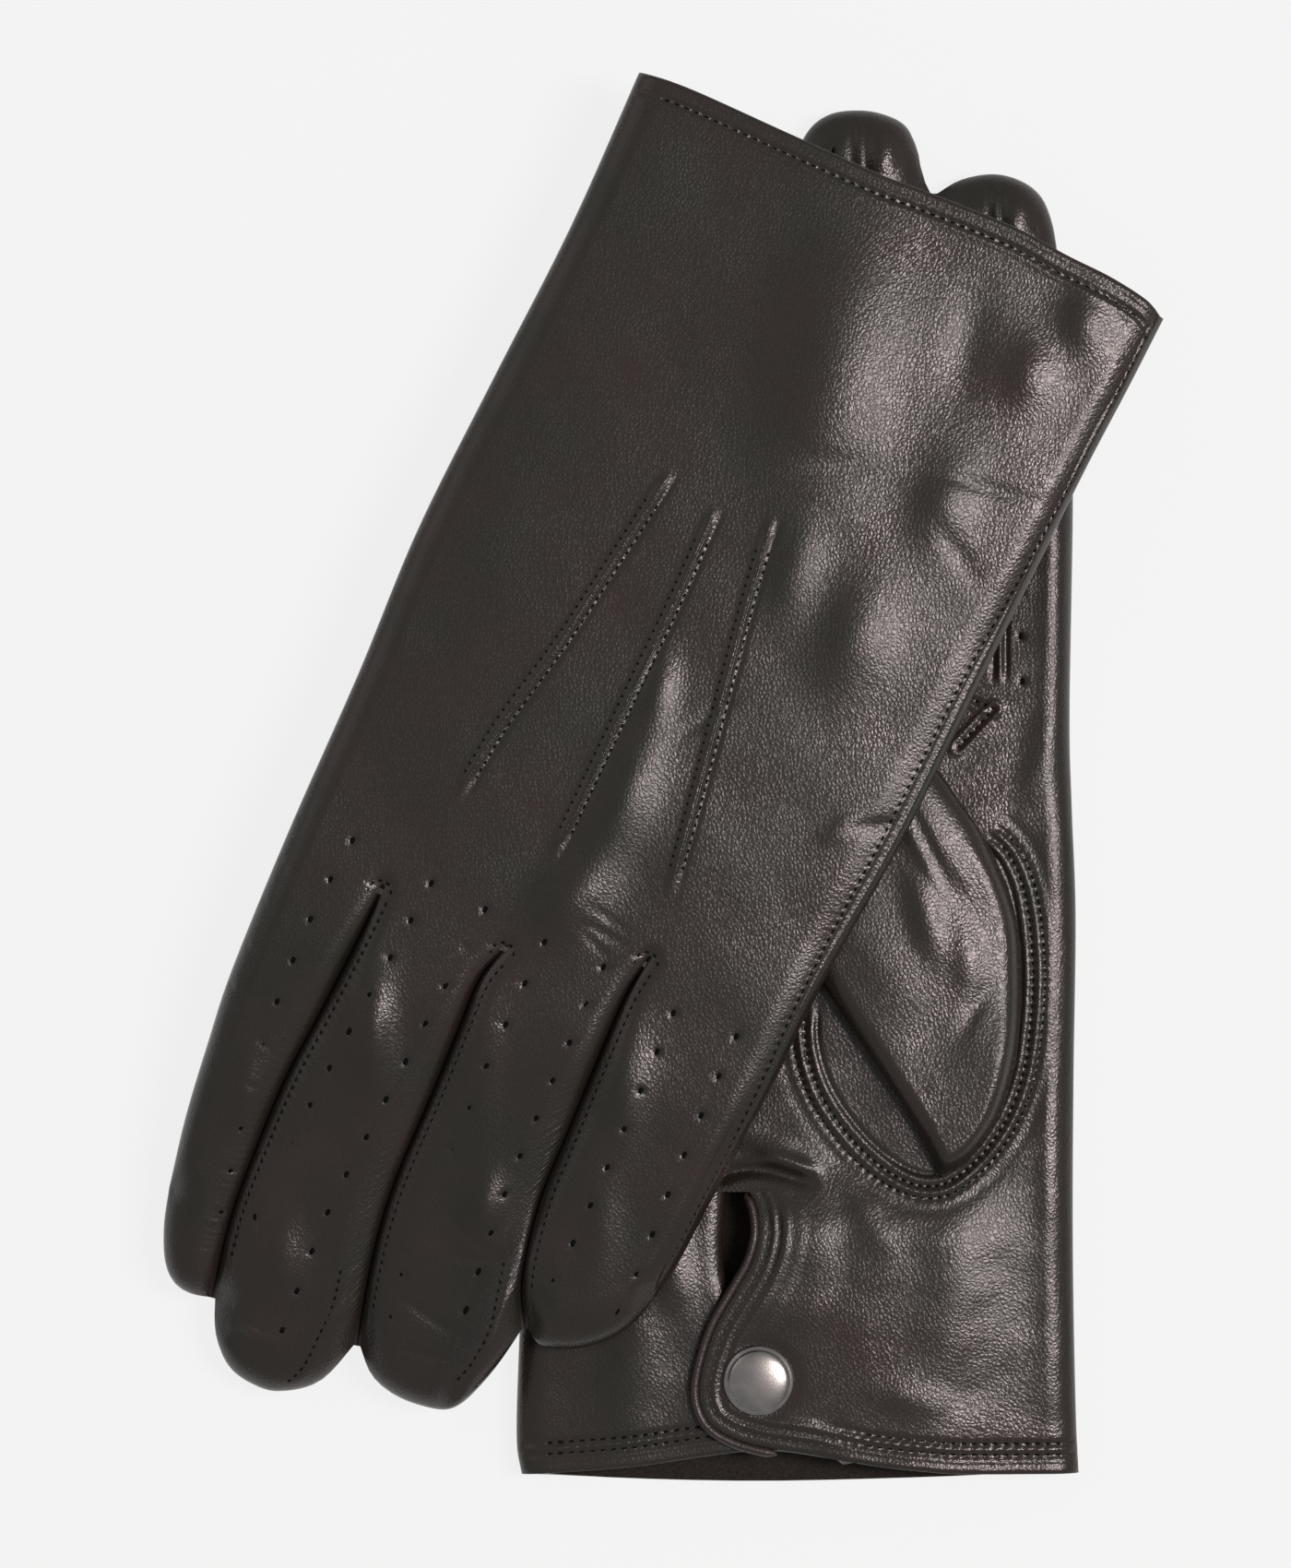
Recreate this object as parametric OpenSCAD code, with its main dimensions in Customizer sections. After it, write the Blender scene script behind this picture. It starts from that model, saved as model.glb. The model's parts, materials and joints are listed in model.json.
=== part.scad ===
// A pair of men's leather driving gloves, lying flat. The left glove lies back up across
// the right glove, which lies palm up. Each glove is drawn in its own frame: X runs towards
// the thumb, Y from the cuff towards the fingertips, Z up. Lengths are in millimetres.

/* [Leather] */
// Thickness of the leather sheet
leather_t = 1; // [0.8:0.1:1.2]
// Outside height of a flattened hand
hand_h = 8; // [7.5:0.5:9]
// Outside height of the left glove's fingers, which keep more air
left_finger_h = 10; // [8:0.5:10]
// Outside height of the right glove's fingers
right_finger_h = 8; // [7:0.5:8]

/* [Hand] */
// Distance from the middle of the cuff to the folded index side
fold_x = 50.5; // [50:0.5:53]
// Length of the hand from the cuff edge to where the three long fingers begin
hand_len = 152; // [148:1:153]
// How much earlier the little finger begins
little_step = 8; // [5:1:12]
// Distance between the end of the hand and the finger knuckle lines
knuckle_gap = 5; // [4.5:0.5:6]

/* [Thumb] */
// Width of the flattened thumb
thumb_w = 32; // [28:1:34]
// Length of the thumb from its seam in the palm
thumb_len = 78; // [70:1:80]
// Outside height of the folded thumb
thumb_h = 7; // [6.5:0.5:7]
// Radius of the thumb hole in the palm
thumb_hole_r = 13; // [10:0.5:14]
// Turn of the right thumb across its palm, degrees
right_thumb_turn = 34; // [25:1:38]
// Turn of the left thumb, tucked under its palm, degrees
left_thumb_turn = 2; // [0:1:5]

/* [Vent and snap] */
// Length of the wrist vent from the cuff edge
vent_len = 50; // [48:1:55]
// Width of the open slot under the flap
vent_slot = 5; // [4.5:0.5:6]
// Distance from the middle of the cuff to the root of the flap
flap_root_x = 6.5; // [6:0.5:8]
// Width of the rolled binding on the flap's edge
binding_w = 1.6; // [1.2:0.1:2]
// Diameter of the domed snap cap
snap_cap_d = 12.7; // [12:0.1:13.5]
// Height of the dome above the flap
snap_cap_h = 2; // [1.5:0.1:2.2]

/* [Stack] */
// Height of the left glove's palm above the surface under the pair
left_z = 15.6; // [15.6:0.1:18]
// Turn of the left glove about the vertical, degrees
left_turn = 155.1; // [150:0.1:160]
// Downward slope of the left index, middle and ring fingers, degrees
finger_slope = 9.5; // [5:0.5:9.5]
// Downward slope of the left little finger, which rests over the right glove, degrees
little_slope = 5; // [3:0.5:5]

/* [Hidden] */
// Middle of each cuff edge in the frame of the pair
right_at = [28.2, -125.23, 0];
left_at = [45.8, 103.97, left_z];
// Clearance between layers of leather that lie on each other
lay_gap = 0.3;
// Gap that keeps solids of one group apart
part_gap = 0.05;
// Half of the gap between two neighbouring fingers
half_finger_gap = 0.4;
// Width of a quirk, and how far it stands back from the open end of the hand
quirk_w = 6;
quirk_back = 0.1;
// Little-finger edge of the hand, from the cuff towards the fingers
seam_edge = [[-51, 0], [-50, 30], [-46.5, 65], [-44, 100], [-43.5, hand_len - little_step]];
// Each finger: low X, high X, tip Y
left_fingers = [[32.7, 48.6, 229], [8.8, 31.8, 242], [-16.2, 7.9, 232.5], [-43.4, -17.1, 212]];
right_fingers = [[24, 49.8, 234], [-0.6, 23.1, 245.3], [-23.6, -1.5, 236], [-44.5, -24.5, 214]];
// Edge of the flap, from its root at the cuff round to its root at the top of the vent
flap_edge = [[flap_root_x, 3], [-6.5, 5], [-15.5, 8.5], [-18.5, 15], [-17.7, 20],
    [-12.2, 33.5], [-8.5, 43.5], [-9, 48], [-11, vent_len], [flap_root_x, vent_len]];
// Where the thumb is sewn into the palm, and the line it unfolds about
thumb_at = [30, 72];
thumb_start = 26;
// Snap: its place, and the layers of its pieces above the palm
snap_at = [-7.6, 17.3];
flap_lift = 1.3;
binding_proud = 0.1;
socket_clear = 0.15;
stud_clear = 0.3;
stud_r = 1.9;
socket_r = 4.5;
socket_bore_r = 2.2;
flange_r = 4.2;
flange_t = 0.8;
snap_cap_edge = 0.5;
rivet_r = 1.5;
round_facets = 48;
dome_facets = 96;

// ---- Where each glove lies ----

module place_left() translate(left_at) rotate(left_turn) children();

module place_right() translate(right_at) children();

// The side of the hand on which the palm lies: the left glove's palm is below
module on_palm_of_left() mirror([0, 0, 1]) children();

module on_palm_of_right() translate([0, 0, hand_h]) children();

// ---- Flat outlines ----

module hand_outline(fingers) {
    step_x = fingers[3][1] + half_finger_gap;
    front = [[fold_x, 0], [fold_x, hand_len], [step_x, hand_len], [step_x, hand_len - little_step]];
    polygon(concat(front, [for (i = [len(seam_edge) - 1:-1:0]) seam_edge[i]]));
}

module stall_outline(width, length) {
    translate([-width / 2, 0]) square([width, length - width / 2]);
    translate([0, length - width / 2]) circle(d = width, $fn = round_facets);
}

module palm_outline(fingers, turn) difference() {
    hand_outline(fingers);
    translate([flap_root_x - vent_slot, -1]) square([vent_slot, vent_len + 1]);
    translate(thumb_at) rotate(turn) translate([0, thumb_hole_r + leather_t])
        circle(thumb_hole_r, $fn = round_facets);
}

// ---- Pieces of the hand ----

module hand_sheet(z) translate([0, 0, z]) linear_extrude(leather_t) children();

// The leather turned up along the little-finger side, where the long seam runs
module seam_wall() {
    inner = [for (p = seam_edge) p + [leather_t, 0]];
    translate([0, 0, leather_t + part_gap]) linear_extrude(hand_h - 2 * (leather_t + part_gap))
        polygon(concat(seam_edge, [for (i = [len(inner) - 1:-1:0]) inner[i]]));
}

// The index side, where one sheet folds from the back to the palm
module fold_wall() translate([fold_x - leather_t, 0, leather_t])
    cube([leather_t, hand_len, hand_h - 2 * leather_t]);

// Small gussets that close the hand between two fingers
module quirk_set(fingers) for (i = [0:2]) {
    x = (fingers[i][0] + fingers[i + 1][1]) / 2;
    y = i < 2 ? hand_len : hand_len - little_step;
    translate([x - quirk_w / 2, y - leather_t - quirk_back, leather_t + part_gap])
        cube([quirk_w, leather_t, hand_h - 2 * (leather_t + part_gap)]);
}

// ---- Fingers: one frame per finger, at the knuckle line, Y along the finger ----

function knuckle_y(i) = hand_len + knuckle_gap - (i == 3 ? little_step : 0);

module at_left_finger(i) {
    f = left_fingers[i];
    place_left() translate([(f[0] + f[1]) / 2, knuckle_y(i), hand_h / 2])
        rotate([-(i == 3 ? little_slope : finger_slope), 0, 0])
        translate([0, 0, -left_finger_h / 2]) children();
}

module at_right_finger(i) {
    f = right_fingers[i];
    place_right() translate([(f[0] + f[1]) / 2, knuckle_y(i), 0]) children();
}

module finger_sheet(fingers, i, z) {
    f = fingers[i];
    translate([0, 0, z]) linear_extrude(leather_t) stall_outline(f[1] - f[0], f[2] - knuckle_y(i));
}

// Side strips and rounded tip wall of a stall, standing between its two sheets
module stall_sides(width, length, height) {
    side_len = length - width / 2 - part_gap;
    for (x = [-width / 2, width / 2 - leather_t])
        translate([x, 0, leather_t]) cube([leather_t, side_len, height - 2 * leather_t]);
    translate([0, length - width / 2, leather_t]) linear_extrude(height - 2 * leather_t)
        difference() {
            circle(d = width, $fn = round_facets);
            circle(d = width - 2 * leather_t, $fn = round_facets);
            translate([-width, -width]) square([2 * width, width]);
        }
}

module finger_sides(fingers, i, height) {
    f = fingers[i];
    stall_sides(f[1] - f[0], f[2] - knuckle_y(i), height);
}

// ---- Thumbs: folded flat on the palm ----

module at_left_thumb() place_left() translate([thumb_at.x, thumb_at.y, -lay_gap])
    mirror([0, 0, 1]) rotate(left_thumb_turn) children();

module at_right_thumb() place_right() translate([thumb_at.x, thumb_at.y, hand_h + lay_gap])
    rotate(right_thumb_turn) children();

module thumb_outer_sheet() translate([0, 0, thumb_h - leather_t])
    linear_extrude(leather_t) stall_outline(thumb_w, thumb_len);

// The side that lies on the palm starts past the thumb hole
module thumb_inner_sheet() linear_extrude(leather_t) difference() {
    stall_outline(thumb_w, thumb_len);
    translate([-thumb_w, -1]) square([2 * thumb_w, thumb_start + 1 + 2 * leather_t]);
}

// ---- Vent flap and snap, drawn upwards from the palm's outer face ----

module flap_outline() polygon(flap_edge);

module flap_sheet() translate([0, 0, flap_lift]) linear_extrude(leather_t) difference() {
    intersection() {
        flap_outline();
        translate([binding_w, 0]) flap_outline();
    }
    translate(snap_at) circle(rivet_r, $fn = round_facets);
}

module binding_strip() translate([0, 0, flap_lift - binding_proud])
    linear_extrude(leather_t + 2 * binding_proud)
    difference() {
        flap_outline();
        translate([binding_w - part_gap, 0]) flap_outline();
        translate([0, -1]) square([2 * flap_root_x, vent_len + 2]);
    }

// Domed cap with its rivet, which passes through the flap
module cap_solid() translate([snap_at.x, snap_at.y, flap_lift + leather_t]) {
    cap_r = snap_cap_d / 2;
    rise = snap_cap_h - snap_cap_edge;
    dome_r = (cap_r * cap_r + rise * rise) / (2 * rise);
    cylinder(r = cap_r, h = snap_cap_edge, $fn = round_facets);
    intersection() {
        translate([0, 0, snap_cap_h - dome_r]) sphere(dome_r, $fn = dome_facets);
        translate([0, 0, snap_cap_edge / 2]) cylinder(r = cap_r, h = snap_cap_h, $fn = round_facets);
    }
    translate([0, 0, -leather_t]) cylinder(r = rivet_r, h = leather_t, $fn = round_facets);
}

module socket_solid() translate([snap_at.x, snap_at.y, socket_clear]) difference() {
    cylinder(r = socket_r, h = flap_lift - socket_clear, $fn = round_facets);
    translate([0, 0, -1]) cylinder(r = socket_bore_r, h = flap_lift + 2, $fn = round_facets);
}

module stud_solid() translate([snap_at.x, snap_at.y, 0])
    cylinder(r = stud_r, h = flap_lift - stud_clear, $fn = round_facets);

module post_solid() translate([snap_at.x, snap_at.y, -leather_t - flange_t])
    cylinder(r = flange_r, h = flange_t, $fn = round_facets);

// ---- The pieces of each side ----

module on_left_palm() place_left() on_palm_of_left() children();

module on_right_palm() place_right() on_palm_of_right() children();

finger_names = ["index", "middle", "ring", "little"];
leather_colour = [0.11, 0.095, 0.085];
binding_colour = [0.15, 0.13, 0.115];
steel_colour = [0.45, 0.43, 0.41];

module left_back_panel() color(leather_colour) place_left()
    hand_sheet(hand_h - leather_t) hand_outline(left_fingers);
module left_palm_panel() color(leather_colour) place_left() {
    hand_sheet(0) palm_outline(left_fingers, left_thumb_turn);
    seam_wall();
}
module left_index_fold() color(leather_colour) place_left() fold_wall();
module left_quirks() color(leather_colour) place_left() quirk_set(left_fingers);
module left_finger_back(i) color(leather_colour) at_left_finger(i)
    finger_sheet(left_fingers, i, left_finger_h - leather_t);
module left_finger_palm(i) color(leather_colour) at_left_finger(i)
    finger_sheet(left_fingers, i, 0);
module left_finger_sides(i) color(leather_colour) at_left_finger(i)
    finger_sides(left_fingers, i, left_finger_h);
module left_thumb_outer() color(leather_colour) at_left_thumb() thumb_outer_sheet();
module left_thumb_inner() color(leather_colour) at_left_thumb() thumb_inner_sheet();
module left_thumb_sides() color(leather_colour) at_left_thumb()
    stall_sides(thumb_w, thumb_len, thumb_h);
module left_vent_flap() color(leather_colour) on_left_palm() flap_sheet();
module left_vent_binding() color(binding_colour) on_left_palm() binding_strip();
module left_snap_cap() color(steel_colour) on_left_palm() cap_solid();
module left_snap_socket() color(steel_colour) on_left_palm() socket_solid();
module left_snap_stud() color(steel_colour) on_left_palm() stud_solid();
module left_snap_post() color(steel_colour) on_left_palm() post_solid();

module right_back_panel() color(leather_colour) place_right()
    hand_sheet(0) hand_outline(right_fingers);
module right_palm_panel() color(leather_colour) place_right() {
    hand_sheet(hand_h - leather_t) palm_outline(right_fingers, right_thumb_turn);
    seam_wall();
}
module right_index_fold() color(leather_colour) place_right() fold_wall();
module right_quirks() color(leather_colour) place_right() quirk_set(right_fingers);
module right_finger_back(i) color(leather_colour) at_right_finger(i)
    finger_sheet(right_fingers, i, 0);
module right_finger_palm(i) color(leather_colour) at_right_finger(i)
    finger_sheet(right_fingers, i, right_finger_h - leather_t);
module right_finger_sides(i) color(leather_colour) at_right_finger(i)
    finger_sides(right_fingers, i, right_finger_h);
module right_thumb_outer() color(leather_colour) at_right_thumb() thumb_outer_sheet();
module right_thumb_inner() color(leather_colour) at_right_thumb() thumb_inner_sheet();
module right_thumb_sides() color(leather_colour) at_right_thumb()
    stall_sides(thumb_w, thumb_len, thumb_h);
module right_vent_flap() color(leather_colour) on_right_palm() flap_sheet();
module right_vent_binding() color(binding_colour) on_right_palm() binding_strip();
module right_snap_cap() color(steel_colour) on_right_palm() cap_solid();
module right_snap_socket() color(steel_colour) on_right_palm() socket_solid();
module right_snap_stud() color(steel_colour) on_right_palm() stud_solid();
module right_snap_post() color(steel_colour) on_right_palm() post_solid();

// ---- Selection of nodes ----

left_back_panel();
left_palm_panel();
left_index_fold();
left_quirks();
left_thumb_outer();
left_thumb_inner();
left_thumb_sides();
left_vent_flap();
left_vent_binding();
left_snap_cap();
left_snap_socket();
left_snap_stud();
left_snap_post();
right_back_panel();
right_palm_panel();
right_index_fold();
right_quirks();
right_thumb_outer();
right_thumb_inner();
right_thumb_sides();
right_vent_flap();
right_vent_binding();
right_snap_cap();
right_snap_socket();
right_snap_stud();
right_snap_post();
for (i = [0:3]) {
    name = finger_names[i];
    left_finger_back(i);
    left_finger_palm(i);
    left_finger_sides(i);
    right_finger_back(i);
    right_finger_palm(i);
    right_finger_sides(i);
}
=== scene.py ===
"""Leather driving gloves: the looks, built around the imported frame.

Each glove has its own pattern frame in millimetres: x runs towards the index side, y from the cuff
towards the fingertips. Depth is measured out from the middle plane between back and palm.
"""
import json
import math

import bpy
import numpy as np
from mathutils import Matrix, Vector


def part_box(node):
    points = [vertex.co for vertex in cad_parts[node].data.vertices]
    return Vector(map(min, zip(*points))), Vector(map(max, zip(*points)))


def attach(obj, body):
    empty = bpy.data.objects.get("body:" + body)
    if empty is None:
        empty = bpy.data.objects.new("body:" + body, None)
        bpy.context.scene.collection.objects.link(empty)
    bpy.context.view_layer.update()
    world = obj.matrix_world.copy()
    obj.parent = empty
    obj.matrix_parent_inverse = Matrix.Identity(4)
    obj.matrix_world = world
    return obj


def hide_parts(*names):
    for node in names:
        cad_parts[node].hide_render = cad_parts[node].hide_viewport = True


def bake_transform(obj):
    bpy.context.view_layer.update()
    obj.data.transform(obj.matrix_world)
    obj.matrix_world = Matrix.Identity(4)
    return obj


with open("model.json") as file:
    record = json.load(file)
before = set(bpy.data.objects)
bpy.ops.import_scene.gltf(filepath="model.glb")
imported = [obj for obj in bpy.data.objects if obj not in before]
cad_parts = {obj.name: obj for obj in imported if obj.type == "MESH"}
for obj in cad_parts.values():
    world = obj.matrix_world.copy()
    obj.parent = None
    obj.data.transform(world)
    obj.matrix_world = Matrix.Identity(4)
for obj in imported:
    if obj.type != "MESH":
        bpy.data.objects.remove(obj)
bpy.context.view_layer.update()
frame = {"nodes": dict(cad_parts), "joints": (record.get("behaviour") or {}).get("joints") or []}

MM = 0.001

# ---- Driving dimensions, millimetres ----
LEATHER = 1.0          # thickness of the leather sheets
THUMB_LEATHER = 0.9    # and of the thumb's two sheets
SIDE_LEATHER = 0.7     # and of the side strips of the fingers
HAND_HALF = 4.0        # half the height of a flattened hand
FINGER_HALF = 4.8      # half the height of the left glove's fingers
RIGHT_MID = 4.0        # height of the right glove's middle plane
FOLD_X = 50.5          # x of the folded side in the CAD
INDEX_PIN = (40.65, 157.0)   # the pattern point at which the CAD has the left index finger's hinge
FOLD_R = 5.0           # width of the roll along the folded side
OUTER_R = 4.6          # and along the sewn side
TIP_R = 7.5            # and round the fingertips
GAP_ROOT_R = 3.0       # and along a finger gap, at its closed end
GAP_R = 6.4            # and further out
OUTER_GRADE = 5.5      # width of the finely graded rows of the grid along the sewn side
FINE = 0.42            # grid step on the sheets that show
PUCKER_STEP = 0.3      # grid step along the fingers, where the puckers are fine
FLAP_STEP = 0.5        # grid step on the flap
COARSE = 2.2           # grid step on the sheets that face down
UNDER = 4              # the inner face of a sheet has one cell for this many outer ones
BATCH = 4000           # points measured against a line at a time
SNAP_R = 6.35          # radius of the snap cap
SNAP_AT = (-7.6, 17.3)
THREAD_R = 0.2         # radius of the sewing thread
TUCK_R = 0.24          # radius of the sewn folds on the back
BINDING_R = 0.85       # radius of the flap's rolled edge
FRAME_TALL = 280.5     # height of the picture at the gloves
SHEET_TOP = 13.0       # height above the floor at which that holds
CAMERA_UP = 1200.0
CAMERA_AT = (0.33, -0.96)
SENSOR = 36.0
HOLE_HALF = (0.42, 0.85)   # half the width and length of a punched hole
# The dark plugs in the punched holes are painted shade for the inside of each hole.
HOLE_DROP = 0.13       # how deep the dark inside of a punched hole lies
HOLE_DEPTH = 0.25      # thickness of that dark inside


# ---- Small geometry helpers ----

def smooth(t):
    t = np.clip(t, 0.0, 1.0)
    return t * t * (3.0 - 2.0 * t)


def hump(d, width):
    return np.exp(-((d / width) ** 2))


def runs(line):
    """Distance along a line at each of its points."""
    return np.concatenate([[0.0], np.cumsum(np.linalg.norm(np.diff(line, axis=0), axis=1))])


def tangents(line):
    along = np.gradient(line, axis=0)
    return along / np.linalg.norm(along, axis=1, keepdims=True)


def at_share(line, share):
    """Points at the given shares of a line's length."""
    run = runs(line)
    at = np.asarray(share) * run[-1]
    return np.stack([np.interp(at, run, line[:, k]) for k in range(line.shape[1])], axis=1)


def resample(line, step=None, count=None):
    """The same line with evenly spaced points."""
    line = np.asarray(line, float)
    count = count or max(2, int(math.ceil(runs(line)[-1] / step)) + 1)
    return at_share(line, np.linspace(0.0, 1.0, count))


def spline(points, step=1.5):
    """A smooth curve through the points."""
    p = np.asarray(points, float)
    p = np.vstack([2 * p[0] - p[1], p, 2 * p[-1] - p[-2]])
    t = np.linspace(0.0, 1.0, 12, endpoint=False)[:, None]
    parts = []
    for a, b, c, d in zip(p, p[1:], p[2:], p[3:]):
        parts.append(0.5 * (2 * b + (c - a) * t + (2 * a - 5 * b + 4 * c - d) * t ** 2
                            + (3 * b - a - 3 * c + d) * t ** 3))
    return resample(np.vstack(parts + [p[-2:-1]]), step)


def length_of(line):
    return float(np.linalg.norm(np.diff(line, axis=0), axis=1).sum())


def near(points, line, reach):
    """Distance to a line, the distance along it, and the side, for points within reach of it."""
    flat = points.reshape(-1, 2)
    dist = np.full(len(flat), float(reach))
    arc = np.zeros(len(flat))
    side = np.ones(len(flat))
    inside = ((flat > line.min(0) - reach) & (flat < line.max(0) + reach)).all(1)
    index = np.nonzero(inside)[0]
    a, ab = line[:-1], np.diff(line, axis=0)
    squared = (ab ** 2).sum(1) + 1e-12
    run = np.concatenate([[0.0], np.cumsum(np.sqrt(squared))])
    for start in range(0, len(index), BATCH):
        some = index[start:start + BATCH]
        ap = flat[some][:, None] - a[None]
        t = np.clip((ap * ab).sum(2) / squared, 0.0, 1.0)
        gap = ap - t[..., None] * ab
        d2 = (gap ** 2).sum(2)
        best = d2.argmin(1)
        row = np.arange(len(some))
        d = np.sqrt(d2[row, best])
        cross = ab[best, 0] * ap[row, best, 1] - ab[best, 1] * ap[row, best, 0]
        close = d < reach
        dist[some] = np.minimum(d, reach)
        arc[some] = np.where(close, run[best] + t[row, best] * np.sqrt(squared[best]), 0.0)
        side[some] = np.where(cross >= 0, 1.0, -1.0)
    shape = points.shape[:-1]
    return dist.reshape(shape), arc.reshape(shape), side.reshape(shape)


def ladder(length, step, start=(), end=(), multiple=UNDER):
    """Fractions along a length: given distances near both ends, even steps between."""
    first = list(start) or [0.0]
    last = [length - e for e in reversed(list(end) or [0.0])]
    cells = max(1, int(math.ceil((last[0] - first[-1]) / step)))
    while (cells + len(first) + len(last) - 2) % multiple:
        cells += 1
    middle = np.linspace(first[-1], last[0], cells + 1)
    return np.concatenate([first[:-1], middle, last[1:]]) / length


def roll_steps(radius, coarse=False):
    """Distances from an edge at which a rolled edge of this radius turns by even angles."""
    angles = np.linspace(0.0, 90.0, 4 if coarse else 9)
    return radius * (1.0 - np.cos(np.radians(angles)))


def fall(q):
    """How far a rolled edge has dropped, from 1 at the edge to 0 where the roll begins."""
    q = np.clip(q, 0.0, 1.0)
    return 1.0 - np.sqrt(np.clip(1.0 - (1.0 - q) ** 2, 0.0, 1.0))


def coons(bottom, top, left, right, u, v):
    """A grid of points between four boundary curves, u across and v along."""
    b, t = at_share(bottom, u)[:, None], at_share(top, u)[:, None]
    l, r = at_share(left, v)[None], at_share(right, v)[None]
    uu, vv = u[:, None, None], v[None, :, None]
    corners = ((1 - uu) * (1 - vv) * bottom[0] + uu * (1 - vv) * bottom[-1]
               + (1 - uu) * vv * top[0] + uu * vv * top[-1])
    return (1 - vv) * b + vv * t + (1 - uu) * l + uu * r - corners


# ---- The two gloves ----

class Glove:
    """One glove's pattern, its place in the row frame, and which way its palm faces."""

    def __init__(self, side, palm_sign, pattern):
        self.side = side
        self.palm_sign = palm_sign
        self.fold = spline(pattern["fold"])
        self.outer = spline(pattern["outer"])
        self.lap = spline(pattern["lap"])
        self.gaps = [spline(g) for g in pattern["gaps"]]
        self.tips = [spline(t, 0.8) for t in pattern["tips"]]
        self.cut = spline(pattern["cut"])
        self.cuff = spline(pattern["cuff"])
        high = split_above(self.fold, self.cut[-1][1])[0]
        self.cut_back = tie_ends(self.cut, split_above(self.lap, self.cut[0][1])[0], high)
        self.cut_palm = tie_ends(self.cut, split_above(self.outer, self.cut[0][1])[0], high)
        self.thumb_low = spline(pattern["thumb_low"])
        self.thumb_high = spline(pattern["thumb_high"])
        self.knuckle = pattern["knuckle"]
        self.rise = pattern["finger_rise"]
        self.slope = pattern["slope"]

    def place(self, origin, x_axis):
        self.origin = np.array(origin[:2])
        self.mid = origin[2]
        self.x_axis = np.array(x_axis)
        self.y_axis = np.array([-x_axis[1], x_axis[0]])

    def middle(self, p):
        """World height of the middle plane, millimetres: the fingers of the left glove slope down."""
        little = smooth((-13.0 - p[..., 0]) / 7.0)
        slope = self.slope[0] + (self.slope[1] - self.slope[0]) * little
        ahead = p[..., 1] - (self.knuckle[0] + (self.knuckle[1] - self.knuckle[0]) * little)
        return self.mid - slope * 0.5 * (ahead + np.sqrt(ahead ** 2 + 100.0))

    def world(self, p, z):
        """Pattern points and world heights, both millimetres, to metres in the row frame."""
        flat = self.origin + p[..., :1] * self.x_axis + p[..., 1:2] * self.y_axis
        return np.concatenate([flat, np.asarray(z)[..., None]], axis=-1) * MM

    def palm_side(self, p, depth):
        """World height of points this far from the middle plane, on the palm's side of it."""
        return self.middle(p) + self.palm_sign * depth

    def pin(self, x, y):
        """A point of the middle plane in the row frame, metres."""
        return tuple(float(c) for c in self.world(np.array([x, y]), np.array(self.mid)))

    def half(self, p):
        """Half the height: the hand thins a little towards its sides."""
        thin = 0.2 * np.clip(p[..., 0] / 50.0, -1.1, 1.1) ** 2 * smooth((150.0 - p[..., 1]) / 30.0)
        return HAND_HALF * (1.0 - thin) + self.rise * smooth((p[..., 1] - 145.0) / 25.0)


def split_above(line, y):
    x = np.interp(y, line[:, 1], line[:, 0])
    return np.vstack([[x, y], line[line[:, 1] > y + 0.2]])


def split_below(line, y):
    x = np.interp(y, line[:, 1], line[:, 0])
    return np.vstack([line[line[:, 1] < y - 0.2], [x, y]])


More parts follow.
